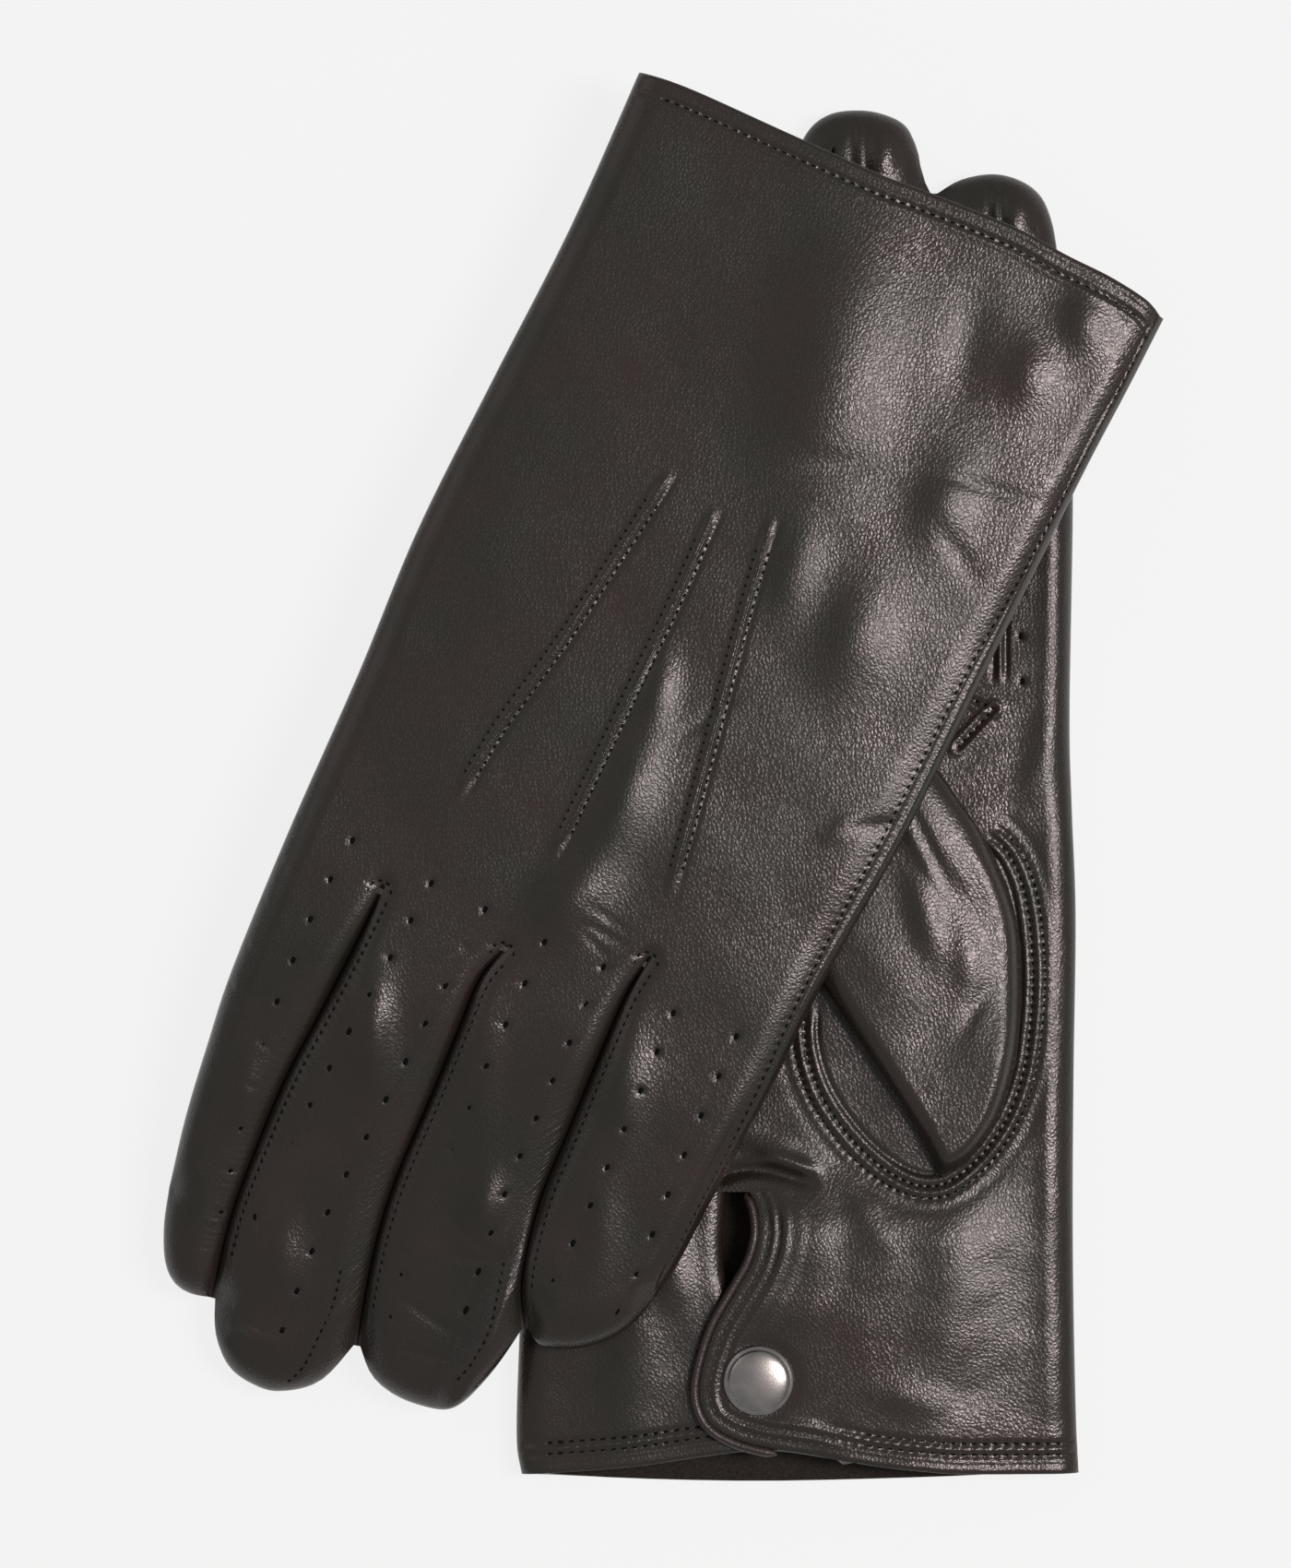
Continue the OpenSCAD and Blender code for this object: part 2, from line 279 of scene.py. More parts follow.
LEFT = dict(
    fold=[(51.4, 0), (50.9, 30), (52, 60), (52.9, 90), (51.7, 118), (51.2, 147), (50.1, 175),
          (48.6, 189), (46.7, 203), (44.1, 216)],
    outer=[(-51.7, 0.5), (-51.2, 14), (-50.4, 30), (-49.9, 50), (-49.3, 75), (-48.6, 105),
           (-46.4, 134), (-46, 156), (-44.8, 177), (-44.2, 190), (-42.8, 198)],
    lap=[(-51.0, 0.5), (-50.6, 14), (-49.9, 30), (-48.8, 52), (-47.2, 72), (-46.5, 90),
         (-45.8, 108), (-44.9, 125), (-44.5, 140), (-44.7, 156), (-44, 177), (-43.5, 188),
         (-42.7, 197.8)],
    gaps=[[(31.8, 150.1), (31.8, 158), (32.5, 175), (33.3, 189), (32.9, 202), (31.8, 216), (28.9, 230.9)],
          [(7.4, 150.9), (9.3, 158), (9, 167), (8.4, 180), (8, 195), (7, 205), (4.9, 215.5), (1.6, 227.7)],
          [(-16.5, 141.7), (-15.5, 150), (-15.8, 162), (-16.5, 177), (-17.2, 190), (-20.2, 204),
           (-24.4, 211.7)]],
    tips=[[(44.1, 216), (42.2, 222.5), (39.4, 228.3), (36.2, 231.3), (32.5, 231.8), (28.9, 230.9)],
          [(28.9, 230.9), (25.5, 236.8), (21.1, 240.9), (16.2, 242.1), (11, 241.3), (5.1, 236.6),
           (1.6, 227.7)],
          [(1.6, 227.7), (-3.2, 231.6), (-9, 233), (-15.3, 232.2), (-19.3, 229.4), (-22, 222.5),
           (-24.4, 211.7)],
          [(-24.4, 211.7), (-28.2, 213.2), (-34, 211.2), (-38.8, 207), (-41.8, 202), (-42.7, 197.8)]],
    cut=[(-44.5, 140), (-30, 140.4), (-16.5, 141.7), (-4, 147.6), (7.4, 150.9), (20, 151), (31.8, 150.1),
         (51.2, 148.6)],
    cuff=[(-51.0, 0.5), (-47.6, -1), (-40, -2), (-31, -2.2), (-21.3, -2.8), (-3.6, -1.9), (5, -1.2),
          (23, -1), (41.5, -0.9), (51.4, 0)],
    thumb_low=[(24.5, 52.5), (17, 62), (13.5, 76), (12.4, 96), (11.8, 120), (12.6, 140), (16.5, 149),
               (24, 153)],
    thumb_high=[(24.5, 52.5), (31.5, 59.5), (36.5, 67), (39.2, 79), (40, 95), (40.5, 118), (39.6, 138),
                (35, 149), (24, 153)],
    knuckle=(157, 149), slope=(0.1673, 0.0875), finger_rise=FINGER_HALF - HAND_HALF)

RIGHT = dict(
    fold=[(50.2, 0.2), (49.7, 12), (49.2, 40), (49.3, 70), (49.7, 100), (49, 120), (48.6, 137),
          (49.2, 177), (48.4, 200), (46.4, 220)],
    outer=[(-50.2, 0), (-51.1, 6), (-50.8, 20), (-49.6, 45), (-47, 75), (-45.2, 110), (-44.6, 142),
           (-44.6, 185), (-43, 199)],
    lap=[(-49.8, 0), (-50.5, 6), (-50.2, 20), (-48.8, 45), (-46.2, 75), (-44.2, 110), (-43.6, 142),
         (-43.7, 185), (-42.9, 198.8)],
    gaps=[[(24.2, 139), (24, 150), (24.2, 180), (24, 205), (23.8, 220), (24.1, 230.7)],
          [(-1, 140), (-1.1, 170), (-1.2, 205), (-0.6, 228)],
          [(-24, 131), (-24.2, 160), (-24.6, 190), (-26, 210)]],
    tips=[[(46.4, 220), (45.4, 225.6), (43.4, 230.2), (39.8, 233), (34.8, 234.2), (29, 233.2),
           (24.1, 230.7)],
          [(24.1, 230.7), (22.3, 234), (21.2, 238.6), (19, 242.9), (15, 245), (10.4, 245.7), (5.4, 245),
           (1.6, 242.2), (-0.6, 237), (-0.6, 228)],
          [(-0.6, 228), (-3, 233), (-8.5, 236), (-15.5, 235.5), (-21, 230.5), (-24.8, 221), (-26, 210)],
          [(-26, 210), (-29.5, 213.6), (-35, 213.8), (-40, 209.6), (-42.9, 198.8)]],
    cut=[(-43.6, 128.6), (-34, 129.4), (-24, 131), (-12, 137), (-1, 140), (12, 140.2), (24.2, 139),
         (48.6, 137)],
    cuff=[(-49.8, 0), (-46, -0.5), (-30, -1.2), (-8, -1.65), (15, -1.2), (40, -0.3), (50.2, 0.2)],
    thumb_low=[(24.9, 53.8), (20, 64), (15, 71.6), (8.6, 81), (3.5, 88.8), (-4.3, 100.5), (-12, 113),
               (-17.5, 125), (-18, 134), (-12, 141.5)],
    thumb_high=[(24.9, 53.8), (30.4, 57), (34.7, 62.6), (37.4, 69.5), (39.2, 79), (39.5, 91), (38.9, 99.5),
                (36.5, 107.4), (33.2, 114.2), (28.6, 121), (24.6, 126.7), (17.5, 134.5), (9, 141),
                (-1, 144.5), (-12, 141.5)],
    knuckle=(157, 149), slope=(0.0, 0.0), finger_rise=0.0)

FINGERS = ["index", "middle", "ring", "little"]


def place_gloves():
    """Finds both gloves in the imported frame: one by a corner of its sheet, the other by a hinge."""
    left, right = Glove("left", -1.0, LEFT), Glove("right", 1.0, RIGHT)
    low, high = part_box("right_back_panel")
    right.place((high.x / MM - FOLD_X, low.y / MM, RIGHT_MID), (1.0, 0.0))
    hinge = [j for j in frame["joints"] if j["name"] == "left_index_lift"][0]
    x_axis = np.array(hinge["axis"][:2])
    y_axis = np.array([-x_axis[1], x_axis[0]])
    pin = np.array(hinge["pos_m"]) / MM
    origin = pin[:2] - INDEX_PIN[0] * x_axis - INDEX_PIN[1] * y_axis
    left.place((origin[0], origin[1], pin[2]), tuple(x_axis))
    return left, right


# ---- Meshes with the shading normals of their sheets ----

SUEDE = "suede_inside"


class Build:
    """Collects slabs of leather, each a fine outer grid with a coarser inner one of suede."""

    def __init__(self):
        self.verts, self.faces, self.normals, self.inside, self.count = [], [], [], [], 0

    def slab(self, top, normal, up, thickness=LEATHER, every=UNDER):
        nu, nv = top.shape[:2]
        inner = top[::every, ::every] - normal[::every, ::every] * thickness * MM
        mu, mv = inner.shape[:2]
        base = self.count
        ids = base + np.arange(nu * nv).reshape(nu, nv)
        low = base + nu * nv + np.arange(mu * mv).reshape(mu, mv)
        self.verts += [top.reshape(-1, 3), inner.reshape(-1, 3)]
        self.count += nu * nv + mu * mv
        self.quads(ids, normal, up, 1.0, base)
        first = len(self.faces)
        self.quads(low, normal[::every, ::every], not up, -1.0, base + nu * nv)
        self.inside += range(first, len(self.faces))
        for fine, rough in ((ids[:, 0], low[:, 0]), (ids[-1], low[-1]),
                            (ids[::-1, -1], low[::-1, -1]), (ids[0, ::-1], low[0, ::-1])):
            self.rim(fine, rough, every, up)

    def quads(self, ids, normal, up, sign, base):
        a, b, c, d = ids[:-1, :-1], ids[1:, :-1], ids[1:, 1:], ids[:-1, 1:]
        order = (a, b, c, d) if up else (a, d, c, b)
        quads = np.stack([o.reshape(-1) for o in order], axis=1)
        flat = normal.reshape(-1, 3) * sign
        self.faces += quads.tolist()
        self.normals.append(flat[quads.reshape(-1) - base])

    def rim(self, fine, rough, every, up):
        for k in range(len(rough) - 1):
            ring = list(fine[k * every:(k + 1) * every + 1][::-1]) + [rough[k], rough[k + 1]]
            ring = ring if up else ring[::-1]
            self.faces.append([int(i) for i in ring])
            self.normals.append(np.zeros((len(ring), 3)))

    def finish(self, name, material):
        mesh = bpy.data.meshes.new(name)
        mesh.from_pydata(np.vstack(self.verts).tolist(), [], self.faces)
        mesh.polygons.foreach_set("use_smooth", [True] * len(mesh.polygons))
        normals = np.vstack(self.normals)
        flat = np.zeros(len(mesh.polygons) * 3)
        mesh.polygons.foreach_get("normal", flat)
        sizes = np.array([len(f) for f in self.faces])
        owner = np.repeat(np.arange(len(sizes)), sizes)
        empty = (np.abs(normals).sum(1) == 0)
        normals[empty] = flat.reshape(-1, 3)[owner[empty]]
        mesh.normals_split_custom_set(normals.tolist())
        obj = link(name, mesh, material)
        mesh.materials.append(bpy.data.materials[SUEDE])
        lined = np.zeros(len(self.faces), dtype=np.int32)
        lined[self.inside] = 1
        mesh.polygons.foreach_set("material_index", lined)
        return obj


def link(name, mesh, material):
    obj = bpy.data.objects.new(name, mesh)
    bpy.context.scene.collection.objects.link(obj)
    mesh.materials.append(material)
    return obj


def sheet_normals(grid, up):
    """Normals of a grid of points, each weighted by the faces round it."""
    face = np.cross(grid[1:, 1:] - grid[:-1, :-1], grid[:-1, 1:] - grid[1:, :-1])
    n = np.zeros(grid.shape)
    for i in (0, 1):
        for j in (0, 1):
            n[i:n.shape[0] - 1 + i, j:n.shape[1] - 1 + j] += face
    n /= np.linalg.norm(n, axis=-1, keepdims=True) + 1e-18
    return n if up else -n


def add_patch(build, glove, curves, u, v, height, up, before=False, after=False):
    """One slab between four curves. Extra rows past an end keep the shading even across a joint."""
    flat = coons(*curves, u, v)
    first, last = 0, flat.shape[1]
    if before:
        flat = np.concatenate([2 * flat[:, :1] - flat[:, 1:2], flat], axis=1)
        first, last = 1, last + 1
    if after:
        flat = np.concatenate([flat, 2 * flat[:, -1:] - flat[:, -2:-1]], axis=1)
    grid = glove.world(flat, height(glove, flat))
    normal = sheet_normals(grid, up)
    build.slab(grid[:, first:last], normal[:, first:last], up)


# ---- Relief: what the leather does around its seams, tucks and creases ----

def swells(p, rows):
    """Soft rises and creases, each (x, y, half length, half width, turn in degrees, height)."""
    out = np.zeros(p.shape[:-1])
    for x, y, long, wide, turn, rise in rows:
        c, s = math.cos(math.radians(turn)), math.sin(math.radians(turn))
        dx, dy = p[..., 0] - x, p[..., 1] - y
        out += rise * np.exp(-(((c * dx + s * dy) / long) ** 2) - ((c * dy - s * dx) / wide) ** 2)
    return out


RIPPLES = 5            # waves that are laid over one another


def ripple(p, seed, size):
    """A gentle unevenness that never repeats over a glove, from -1 to 1."""
    out = np.zeros(p.shape[:-1])
    for k in range(RIPPLES):
        turn = seed + 2.4 * k
        wave = 2.0 * math.pi / (size * (0.6 + 0.23 * k))
        across = p[..., 0] * math.cos(turn) + p[..., 1] * math.sin(turn)
        out += np.sin(wave * across + seed * (k + 1))
    return out / RIPPLES


class Seam:
    """A line of the pattern, seen from a set of points: signed distance, run along it and end fades."""

    def __init__(self, p, line, reach, fades=(3.0, 3.0)):
        d, self.run, side = near(p, line, reach)
        self.off = np.where(d < reach, d * side, 1e3)
        self.dist = d
        total = length_of(line)
        self.fade = smooth(self.run / fades[0]) * smooth((total - self.run) / fades[1])

    def ridge(self, offset, width, height):
        return height * hump(self.off - offset, width) * self.fade

    def groove(self, offset, width, depth):
        return -self.ridge(offset, width, depth)

    def dimples(self, offset, width, depth, pitch):
        beat = 0.5 + 0.5 * np.cos(2.0 * math.pi * self.run / pitch)
        return self.groove(offset, width, depth) * (0.25 + 0.75 * beat)

    def puckers(self, inner, outer, height, pitch):
        band = smooth((self.off - inner) / 0.7) * smooth((outer - self.off) / 1.1)
        wander = self.run / pitch + 0.25 * np.sin(self.run * 0.61) + 0.15 * np.sin(self.run * 1.7)
        return height * band * self.fade * np.cos(2.0 * math.pi * wander)


def dents(p, spots):
    """Small hollows round the punched holes."""
    out = np.zeros(p.shape[:-1])
    for x, y in spots:
        dx, dy = p[..., 0] - x, p[..., 1] - y
        close = (np.abs(dx) < 3 * DENT_R) & (np.abs(dy) < 3 * DENT_R)
        out[close] -= DENT * np.exp(-(dx[close] ** 2 * 1.5 + dy[close] ** 2) / DENT_R ** 2)
    return out


POINTS = [[(15.8, 61.5), (18.4, 80), (21, 98), (24.5, 116), (26.1, 132)],
          [(6.1, 64), (5.7, 82), (5.9, 99), (6, 115), (6.1, 135)],
          [(-3.6, 61), (-6, 77), (-9, 94), (-12.4, 113), (-15.5, 131.5)]]
TIP_SEAMS = [[(10.1, 214.9), (8.6, 222.4), (8.5, 227.8), (8.7, 234.8), (10.1, 238.8)],
             [(-15.7, 201.1), (-17.3, 207.7), (-18.7, 214.3), (-18.3, 221.2), (-17.1, 225.4)]]
BACK_HOLES = {
    "index": [[(40, 145.3), (40.9, 161), (39.6, 184), (37, 199.4), (33.6, 216)],
              [(50.0, 145.8), (50.0, 153), (49.6, 162), (48.8, 178)]],
    "middle": [[(24.1, 146.3), (25.2, 161.6), (26.9, 185), (27.8, 207.5), (27.7, 229)],
               [(13.5, 146.5), (14.6, 170), (15.7, 192.6), (16.3, 207.8), (14.9, 230.4)]],
    "ring": [[(1.5, 147.3), (1.6, 170.8), (0.9, 192.8), (0.1, 207.5), (-2.6, 228.1)],
             [(-9.8, 146.9), (-10.2, 170.4), (-11, 191.9), (-13.4, 213.1)]],
    "little": [[(-24.5, 149.1), (-25.3, 172), (-25.6, 194.7), (-24.8, 208.7)],
               [(-36.4, 148.2), (-36.9, 171.3), (-38.2, 194.4), (-38, 201.7)]]}
HOLE_PITCH = 7.8
DENT, DENT_R = 0.3, 0.75   # depth and radius of the hollow round a punched hole
HEM_PITCH = 1.9
HEM_ROWS = (3.5, 5.5)    # how far in from the cuff the rows of stitches lie
GAP_PITCH = 1.6
GAP_ROW = 1.9            # how far the row of stitches runs from a finger gap
PUCKER_PITCH = 1.35
LAP_PITCH = 1.7
LAP_ROW = -0.8           # how far the row of stitches runs from the outer seam
LAP_STRIP = 3.8          # width of the strip along the outer seam that slopes down
OVAL_PITCH = 1.55

BACK_SWELLS = [(-3, 34, 24, 11, 107, 1.8), (-39.5, 7, 6, 4.2, 112, 1.0), (-34.5, 20, 6, 4.5, 108, 0.8),
               (-34, 41.5, 10, 1.5, 9, -0.25), (-30.5, 47, 8, 5, 102, 0.9), (-36, 54, 7, 2.0, 150, -0.25),
               (-26, 75, 11, 6.5, 100, 1.1), (-11, 69, 8, 4.5, 104, 0.8), (-10, 49, 6, 3, 20, -0.3),
               (-22, 20, 9, 4, 105, -0.5), (2.0, 98, 6, 2.8, 104, 0.7), (-0.8, 118, 13, 4.5, 94, 1.15),
               (0.5, 138, 8, 5.5, 80, 1.35), (-43, 104, 5, 1.4, 30, -0.3), (-38, 107, 4, 2.0, 60, 0.3),
               (-8, 99, 6, 1.3, 60, -0.2), (-7.5, 141.5, 4, 0.8, 176, -0.16),
               (-7, 138.6, 4, 0.7, 170, -0.12), (-7, 144, 4, 0.7, 160, -0.12),
               (22.6, 175.5, 10, 4.0, 112, 2.0), (20.5, 219.5, 8, 4.5, 110, 1.6),
               (38.6, 194, 6, 2.4, 105, 0.8), (-8.6, 195, 6.5, 3.6, 105, 1.6),
               (-10, 201, 5, 0.9, 165, -0.3), (-11, 204, 4, 0.8, 20, -0.25),
               (-22.5, 165, 9, 3.6, 108, 0.75), (-29, 190, 10, 3.6, 108, 0.6), (2, 172, 10, 3.4, 112, 0.5),
               (23.6, 233.2, 6, 0.9, 0, 0.55), (21, 235.2, 7, 1.2, 176, -0.7), (-9, 224, 7, 1.0, 10, -0.3),
               (-8, 217, 6, 1.1, 170, -0.25), (11, 224, 5, 1.4, 60, -0.3)]


def hole_spots(rows):
    spots = []
    for row in rows:
        line = spline(row)
        spots += [tuple(q) for q in resample(line, count=round(length_of(line) / HOLE_PITCH) + 1)]
    return spots


def hem(p, cuff, beads):
    """A turned and sewn cuff edge: rounded rim, raised band, groove and one or two rows of stitches."""
    seam = Seam(p, cuff, 7.5, (1.0, 1.0))
    seam.off = np.abs(seam.off)
    out = 0.2 * smooth(3.0 - seam.off) - 0.5 * fall(seam.off) + seam.groove(1.7, 0.35, 0.2)
    if not beads:
        return out + seam.dimples(HEM_ROWS[0], 0.42, 0.34, HEM_PITCH) + 0.12 * hump(seam.off - 4.4, 0.5)
    beat = 0.55 + 0.45 * np.cos(2.0 * math.pi * seam.run / HEM_PITCH)
    out += 0.32 * hump(seam.off - 4.4, 0.55) * beat
    out += seam.dimples(HEM_ROWS[1], 0.5, 0.45, HEM_PITCH)
    return out + seam.dimples(HEM_ROWS[0], 0.45, 0.4, HEM_PITCH)


def gap_relief(p, glove):
    """Each gap has a stitched, smooth edge towards the little finger and a puckered one opposite."""
    out = np.zeros(p.shape[:-1])
    for gap in glove.gaps:
        seam = Seam(p, gap, 6.0, (5.0, 6.0))
        out += seam.dimples(GAP_ROW, 0.42, 0.28, GAP_PITCH)
        puckers = seam.puckers(-2.2, -0.9, 0.2, PUCKER_PITCH) + seam.puckers(-3.7, -2.4, 0.13, PUCKER_PITCH)
        out += puckers * smooth((seam.run - 16.0) / 20.0)
        hoop = Seam(p, crotch_hoop(gap), 2.5, (1.5, 1.5))
        out += hoop.dimples(0.0, 0.4, 0.25, GAP_PITCH)
    return out


def crotch_hoop(gap):
    """The row of stitches that goes round the closed end of a gap."""
    turns = np.radians(np.linspace(-20.0, 200.0, 12))
    centre = gap[0] + np.array([0.0, 1.5])
    return centre + 2.1 * np.stack([-np.cos(turns), -np.sin(turns)], axis=1)


def tuck_relief(p):
    """The three raised lines on the back: a swollen fold and a row sunk beside it."""
    out = np.zeros(p.shape[:-1])
    for points in POINTS:
        seam = Seam(p, spline(points), 6.0, (5.0, 9.0))
        out += seam.ridge(-0.4, 0.8, 0.45) + seam.groove(1.0, 0.42, 0.2)
    return out


def crown(p):
    """The hand is fullest along its middle."""
    return 0.85 * (1.0 - np.clip(p[..., 0] / 52.0, -1.0, 1.0) ** 2) * smooth((160.0 - p[..., 1]) / 50.0)


def back_relief(glove, p):
    out = crown(p) + swells(p, BACK_SWELLS) + 0.22 * ripple(p, 1.7, 34.0) + 0.05 * ripple(p, 4.1, 17.0)
    out += tuck_relief(p) + gap_relief(p, glove)
    lap = Seam(p, glove.lap, 6.0, (2.0, 2.0))
    out += lap.dimples(LAP_ROW, 0.42, 0.22, LAP_PITCH) - 0.3 * fall(np.abs(lap.off) / 0.6) * lap.fade
    for points in TIP_SEAMS:
        seam = Seam(p, spline(points), 3.0, (3.0, 2.0))
        out += seam.dimples(0.0, 0.4, 0.3, GAP_PITCH) + seam.ridge(1.0, 0.6, 0.25)
    for rows in BACK_HOLES.values():
        out += dents(p, hole_spots(rows))
    return out


def outer_profile(glove, p):
    """Half the glove's height at p, rolled down along the outline and partly down along the gaps."""
    t = glove.half(p)
    t = t * (1.0 - fall(near(p, glove.fold, FOLD_R)[0] / FOLD_R))
    t = t * (1.0 - fall(near(p, glove.outer, OUTER_R)[0] / OUTER_R))
    for tip in glove.tips:
        t = t * (1.0 - fall(near(p, tip, TIP_R)[0] / TIP_R))
    for gap in glove.gaps:
        d, run, _ = near(p, gap, GAP_R + 0.1)
        deep = 0.4 + 0.38 * smooth(run / 14.0) + 0.22 * smooth((run - length_of(gap) + 14.0) / 14.0)
        radius = GAP_ROOT_R + (GAP_R - GAP_ROOT_R) * smooth(run / 40.0)
        t = t * (1.0 - deep * fall(d / radius))
    return t


def lap_drop(glove, p):
    """Share of the height lost in the strip along the outer seam, where the back slopes down."""
    apart, _, side = near(p, glove.lap, 8.0)
    inward = np.where(apart < 8.0, -apart * side, 8.0)
    bend = LAP_STRIP - np.maximum(inward, -1.0)
    return 0.033 * (bend + np.sqrt(bend ** 2 + 0.1))


def back_height(glove, p):
    """World height of the back's outer face. A glove that lies on its back is flat where it rests."""
    depth = outer_profile(glove, p) * (1.0 - lap_drop(glove, p))
    depth = depth + back_relief(glove, p) * smooth(depth / glove.half(p) * 2.5)
    lap_lift = 0.4 * hump(near(p, glove.lap, 6.0)[0], 1.5)
    depth = depth + hem(p, glove.cuff, False) + lap_lift
    return np.maximum(glove.palm_side(p, -depth), 0.03)


PALM_CUFF = [(-49.8, 0), (-36, 1.0), (-28, 1.8), (-18, 3.3), (-8, 4.4), (3, 3.7), (13, 1.9), (21.6, 0.9),
             (30, 0.3), (50.2, 0.2)]
OVAL = [(33.2, 115.7), (37.3, 111.9), (40.1, 105.5), (41.5, 97), (41.8, 87), (40.6, 74.7), (38, 66),
        (33.8, 59), (28.5, 53.9), (24.1, 52), (19.1, 52.8), (13, 56.7), (7.4, 62.7), (3.2, 69.5),
        (0.9, 77.5), (1.0, 86)]
OVAL_ROWS = (0.0, 2.1)   # how far the two rows of stitches lie outside the oval
VENT_TOP = 51.0        # how far the vent runs up the palm
FLAP_ROOT = 10.0       # x at which the flap becomes part of the palm
UNDERLAP = [(3.0, 3.7), (3.0, 14), (-3, 22), (-10.5, 29), (-13.8, 37), (-13.6, 51)]
PALM_TUCKS = [[(35.8, 141.6), (35.6, 190), (35.0, 232.5)], [(10.9, 143), (10.7, 200), (10.6, 244.2)],
              [(-13.0, 141), (-13, 200), (-13.6, 234)]]
PALM_HOLES = {"index": [[(39.9, 142.7), (39.6, 158.6), (41, 190), (42.2, 224.4)]],
              "middle": [[(5.2, 145), (5, 190), (5.9, 238)], [(17.2, 145), (17.4, 190), (17.5, 238)]],
              "ring": [[(-7.6, 146), (-7.8, 190), (-8.4, 228)], [(-18, 146), (-18.4, 190), (-18.6, 222)]],
              "little": [[(-30.5, 144), (-31, 205)], [(-38.5, 144), (-38.2, 200)]]}
PALM_SWELLS = [(-30, 24, 16, 6, 85, 0.9), (-23, 39, 10, 3.6, 100, 0.9), (-14, 62, 5, 1.2, 100, 0.6),
               (-4, 58, 7, 2.2, 155, 0.6), (28, 36, 15, 6.5, 88, 0.7), (45, 60, 50, 2.6, 90, 0.35),
               (46, 150, 40, 2.6, 90, 0.35), (30, 15, 8, 4, 20, -0.3),
               (43, 128, 8, 3, 80, 0.5), (15, 237, 6, 3.2, 75, 1.1), (12, 47, 8, 2.6, 120, 0.3),
               (39, 227, 6, 3.2, 80, 1.0), (20, 14, 9, 3, 170, 0.4)]
VENT_CREASE = [(-17, 52.6), (-13.2, 54.2), (-9.5, 55.0), (-6.0, 54.8), (-2.5, 53.9), (1, 52.8), (4, 52.3)]
QUIRK_ROWS = [[(27.5, 140.9), (34.8, 137.8)], [(34.8, 137.8), (28.2, 130.8)]]


def palm_relief(glove, p):
    out = swells(p, PALM_SWELLS) + 0.22 * ripple(p, 2.9, 30.0) + 0.08 * ripple(p, 5.3, 10.0)
    out += vent_crease(p) + gap_relief(p, glove)
    for points in QUIRK_ROWS:
        row = Seam(p, resample(points, 1.0), 3.0, (0.5, 0.5))
        out += row.dimples(0.0, 0.42, 0.3, OVAL_PITCH) + 0.2 * hump(row.dist - 1.1, 0.5)
    oval = Seam(p, spline(OVAL), 8.0, (3.0, 6.0))
    for offset in OVAL_ROWS:
        out += oval.dimples(offset, 0.5, 0.5, OVAL_PITCH)
    out += oval.ridge(-1.1, 0.8, 0.3) + oval.ridge(1.05, 0.8, 0.3)
    out += oval.groove(-2.2, 0.35, 0.4) + oval.groove(4.2, 1.2, 0.15)
    for points in PALM_TUCKS:
        tuck = Seam(p, spline(points), 4.0, (4.0, 3.0))
        out += tuck.ridge(0.0, 0.55, 0.45) + tuck.groove(1.1, 0.4, 0.4) + tuck.groove(-1.1, 0.4, 0.4)
    for rows in PALM_HOLES.values():
        out += dents(p, hole_spots(rows))
    return out


def vent_crease(p):
    """The arched fold over the top of the vent, deepest just above the slot."""
    seam = Seam(p, spline(VENT_CREASE), 6.0, (4.0, 5.0))
    return seam.groove(0.0, 1.3, 1.1) - seam.groove(2.4, 1.3, 0.7) * smooth((p[..., 0] + 9.0) / 5.0)


def palm_depth(glove, p):
    t = outer_profile(glove, p)
    return t + palm_relief(glove, p) * smooth(t / glove.half(p) * 2.5)


def flap_lift(p):
    """Over the snap the cuff is two layers deep, so the palm climbs to the flap along its root."""
    rise = smooth((48.0 - p[..., 0]) / 32.0)
    return 2.1 * rise * smooth((VENT_TOP + 6.0 - p[..., 1]) / 16.0)


def near_flap_depth(glove, p):
    return palm_depth(glove, p) + flap_lift(p) + hem(p, spline(PALM_CUFF), True)


def upper_palm_depth(glove, p):
    return palm_depth(glove, p) + flap_lift(p) * smooth((p[..., 0] + 12.0) / 10.0)


def palm_height(glove, p):
    return glove.palm_side(p, palm_depth(glove, p))


def near_flap_height(glove, p):
    return glove.palm_side(p, near_flap_depth(glove, p))


def upper_palm_height(glove, p):
    return glove.palm_side(p, upper_palm_depth(glove, p))


def underlap_height(glove, p):
    edge = near(p, spline(UNDERLAP), 6.0)[0]
    depth = palm_depth(glove, p) + hem(p, spline(PALM_CUFF), True) - 1.8 * fall(edge / 3.5)
    return glove.palm_side(p, depth)


# ---- Sheets of leather ----

def band(line, low, high):
    """The stretch of a rising line between two heights of the pattern."""
    keep = line[(line[:, 1] > low + 0.3) & (line[:, 1] < high - 0.3)]
    ends = [[np.interp(y, line[:, 1], line[:, 0]), y] for y in (low, high)]
    return np.vstack([ends[:1], keep, ends[1:]])


def shifted(line, amount, ease=5.0):
    """The line moved towards low x, little by little from its first point."""
    along = tangents(line)
    out = np.stack([-along[:, 1], along[:, 0]], axis=1)
    return line + out * amount * smooth(runs(line) / ease)[:, None]


def between(line, low_x, high_x):
    """The stretch of a line, sorted by rising x, between two values of x."""
    keep = line[(line[:, 0] > low_x + 0.2) & (line[:, 0] < high_x - 0.2)]
    ends = [[x, np.interp(x, line[:, 0], line[:, 1])] for x in (low_x, high_x)]
    return np.vstack([ends[:1], keep, ends[1:]])


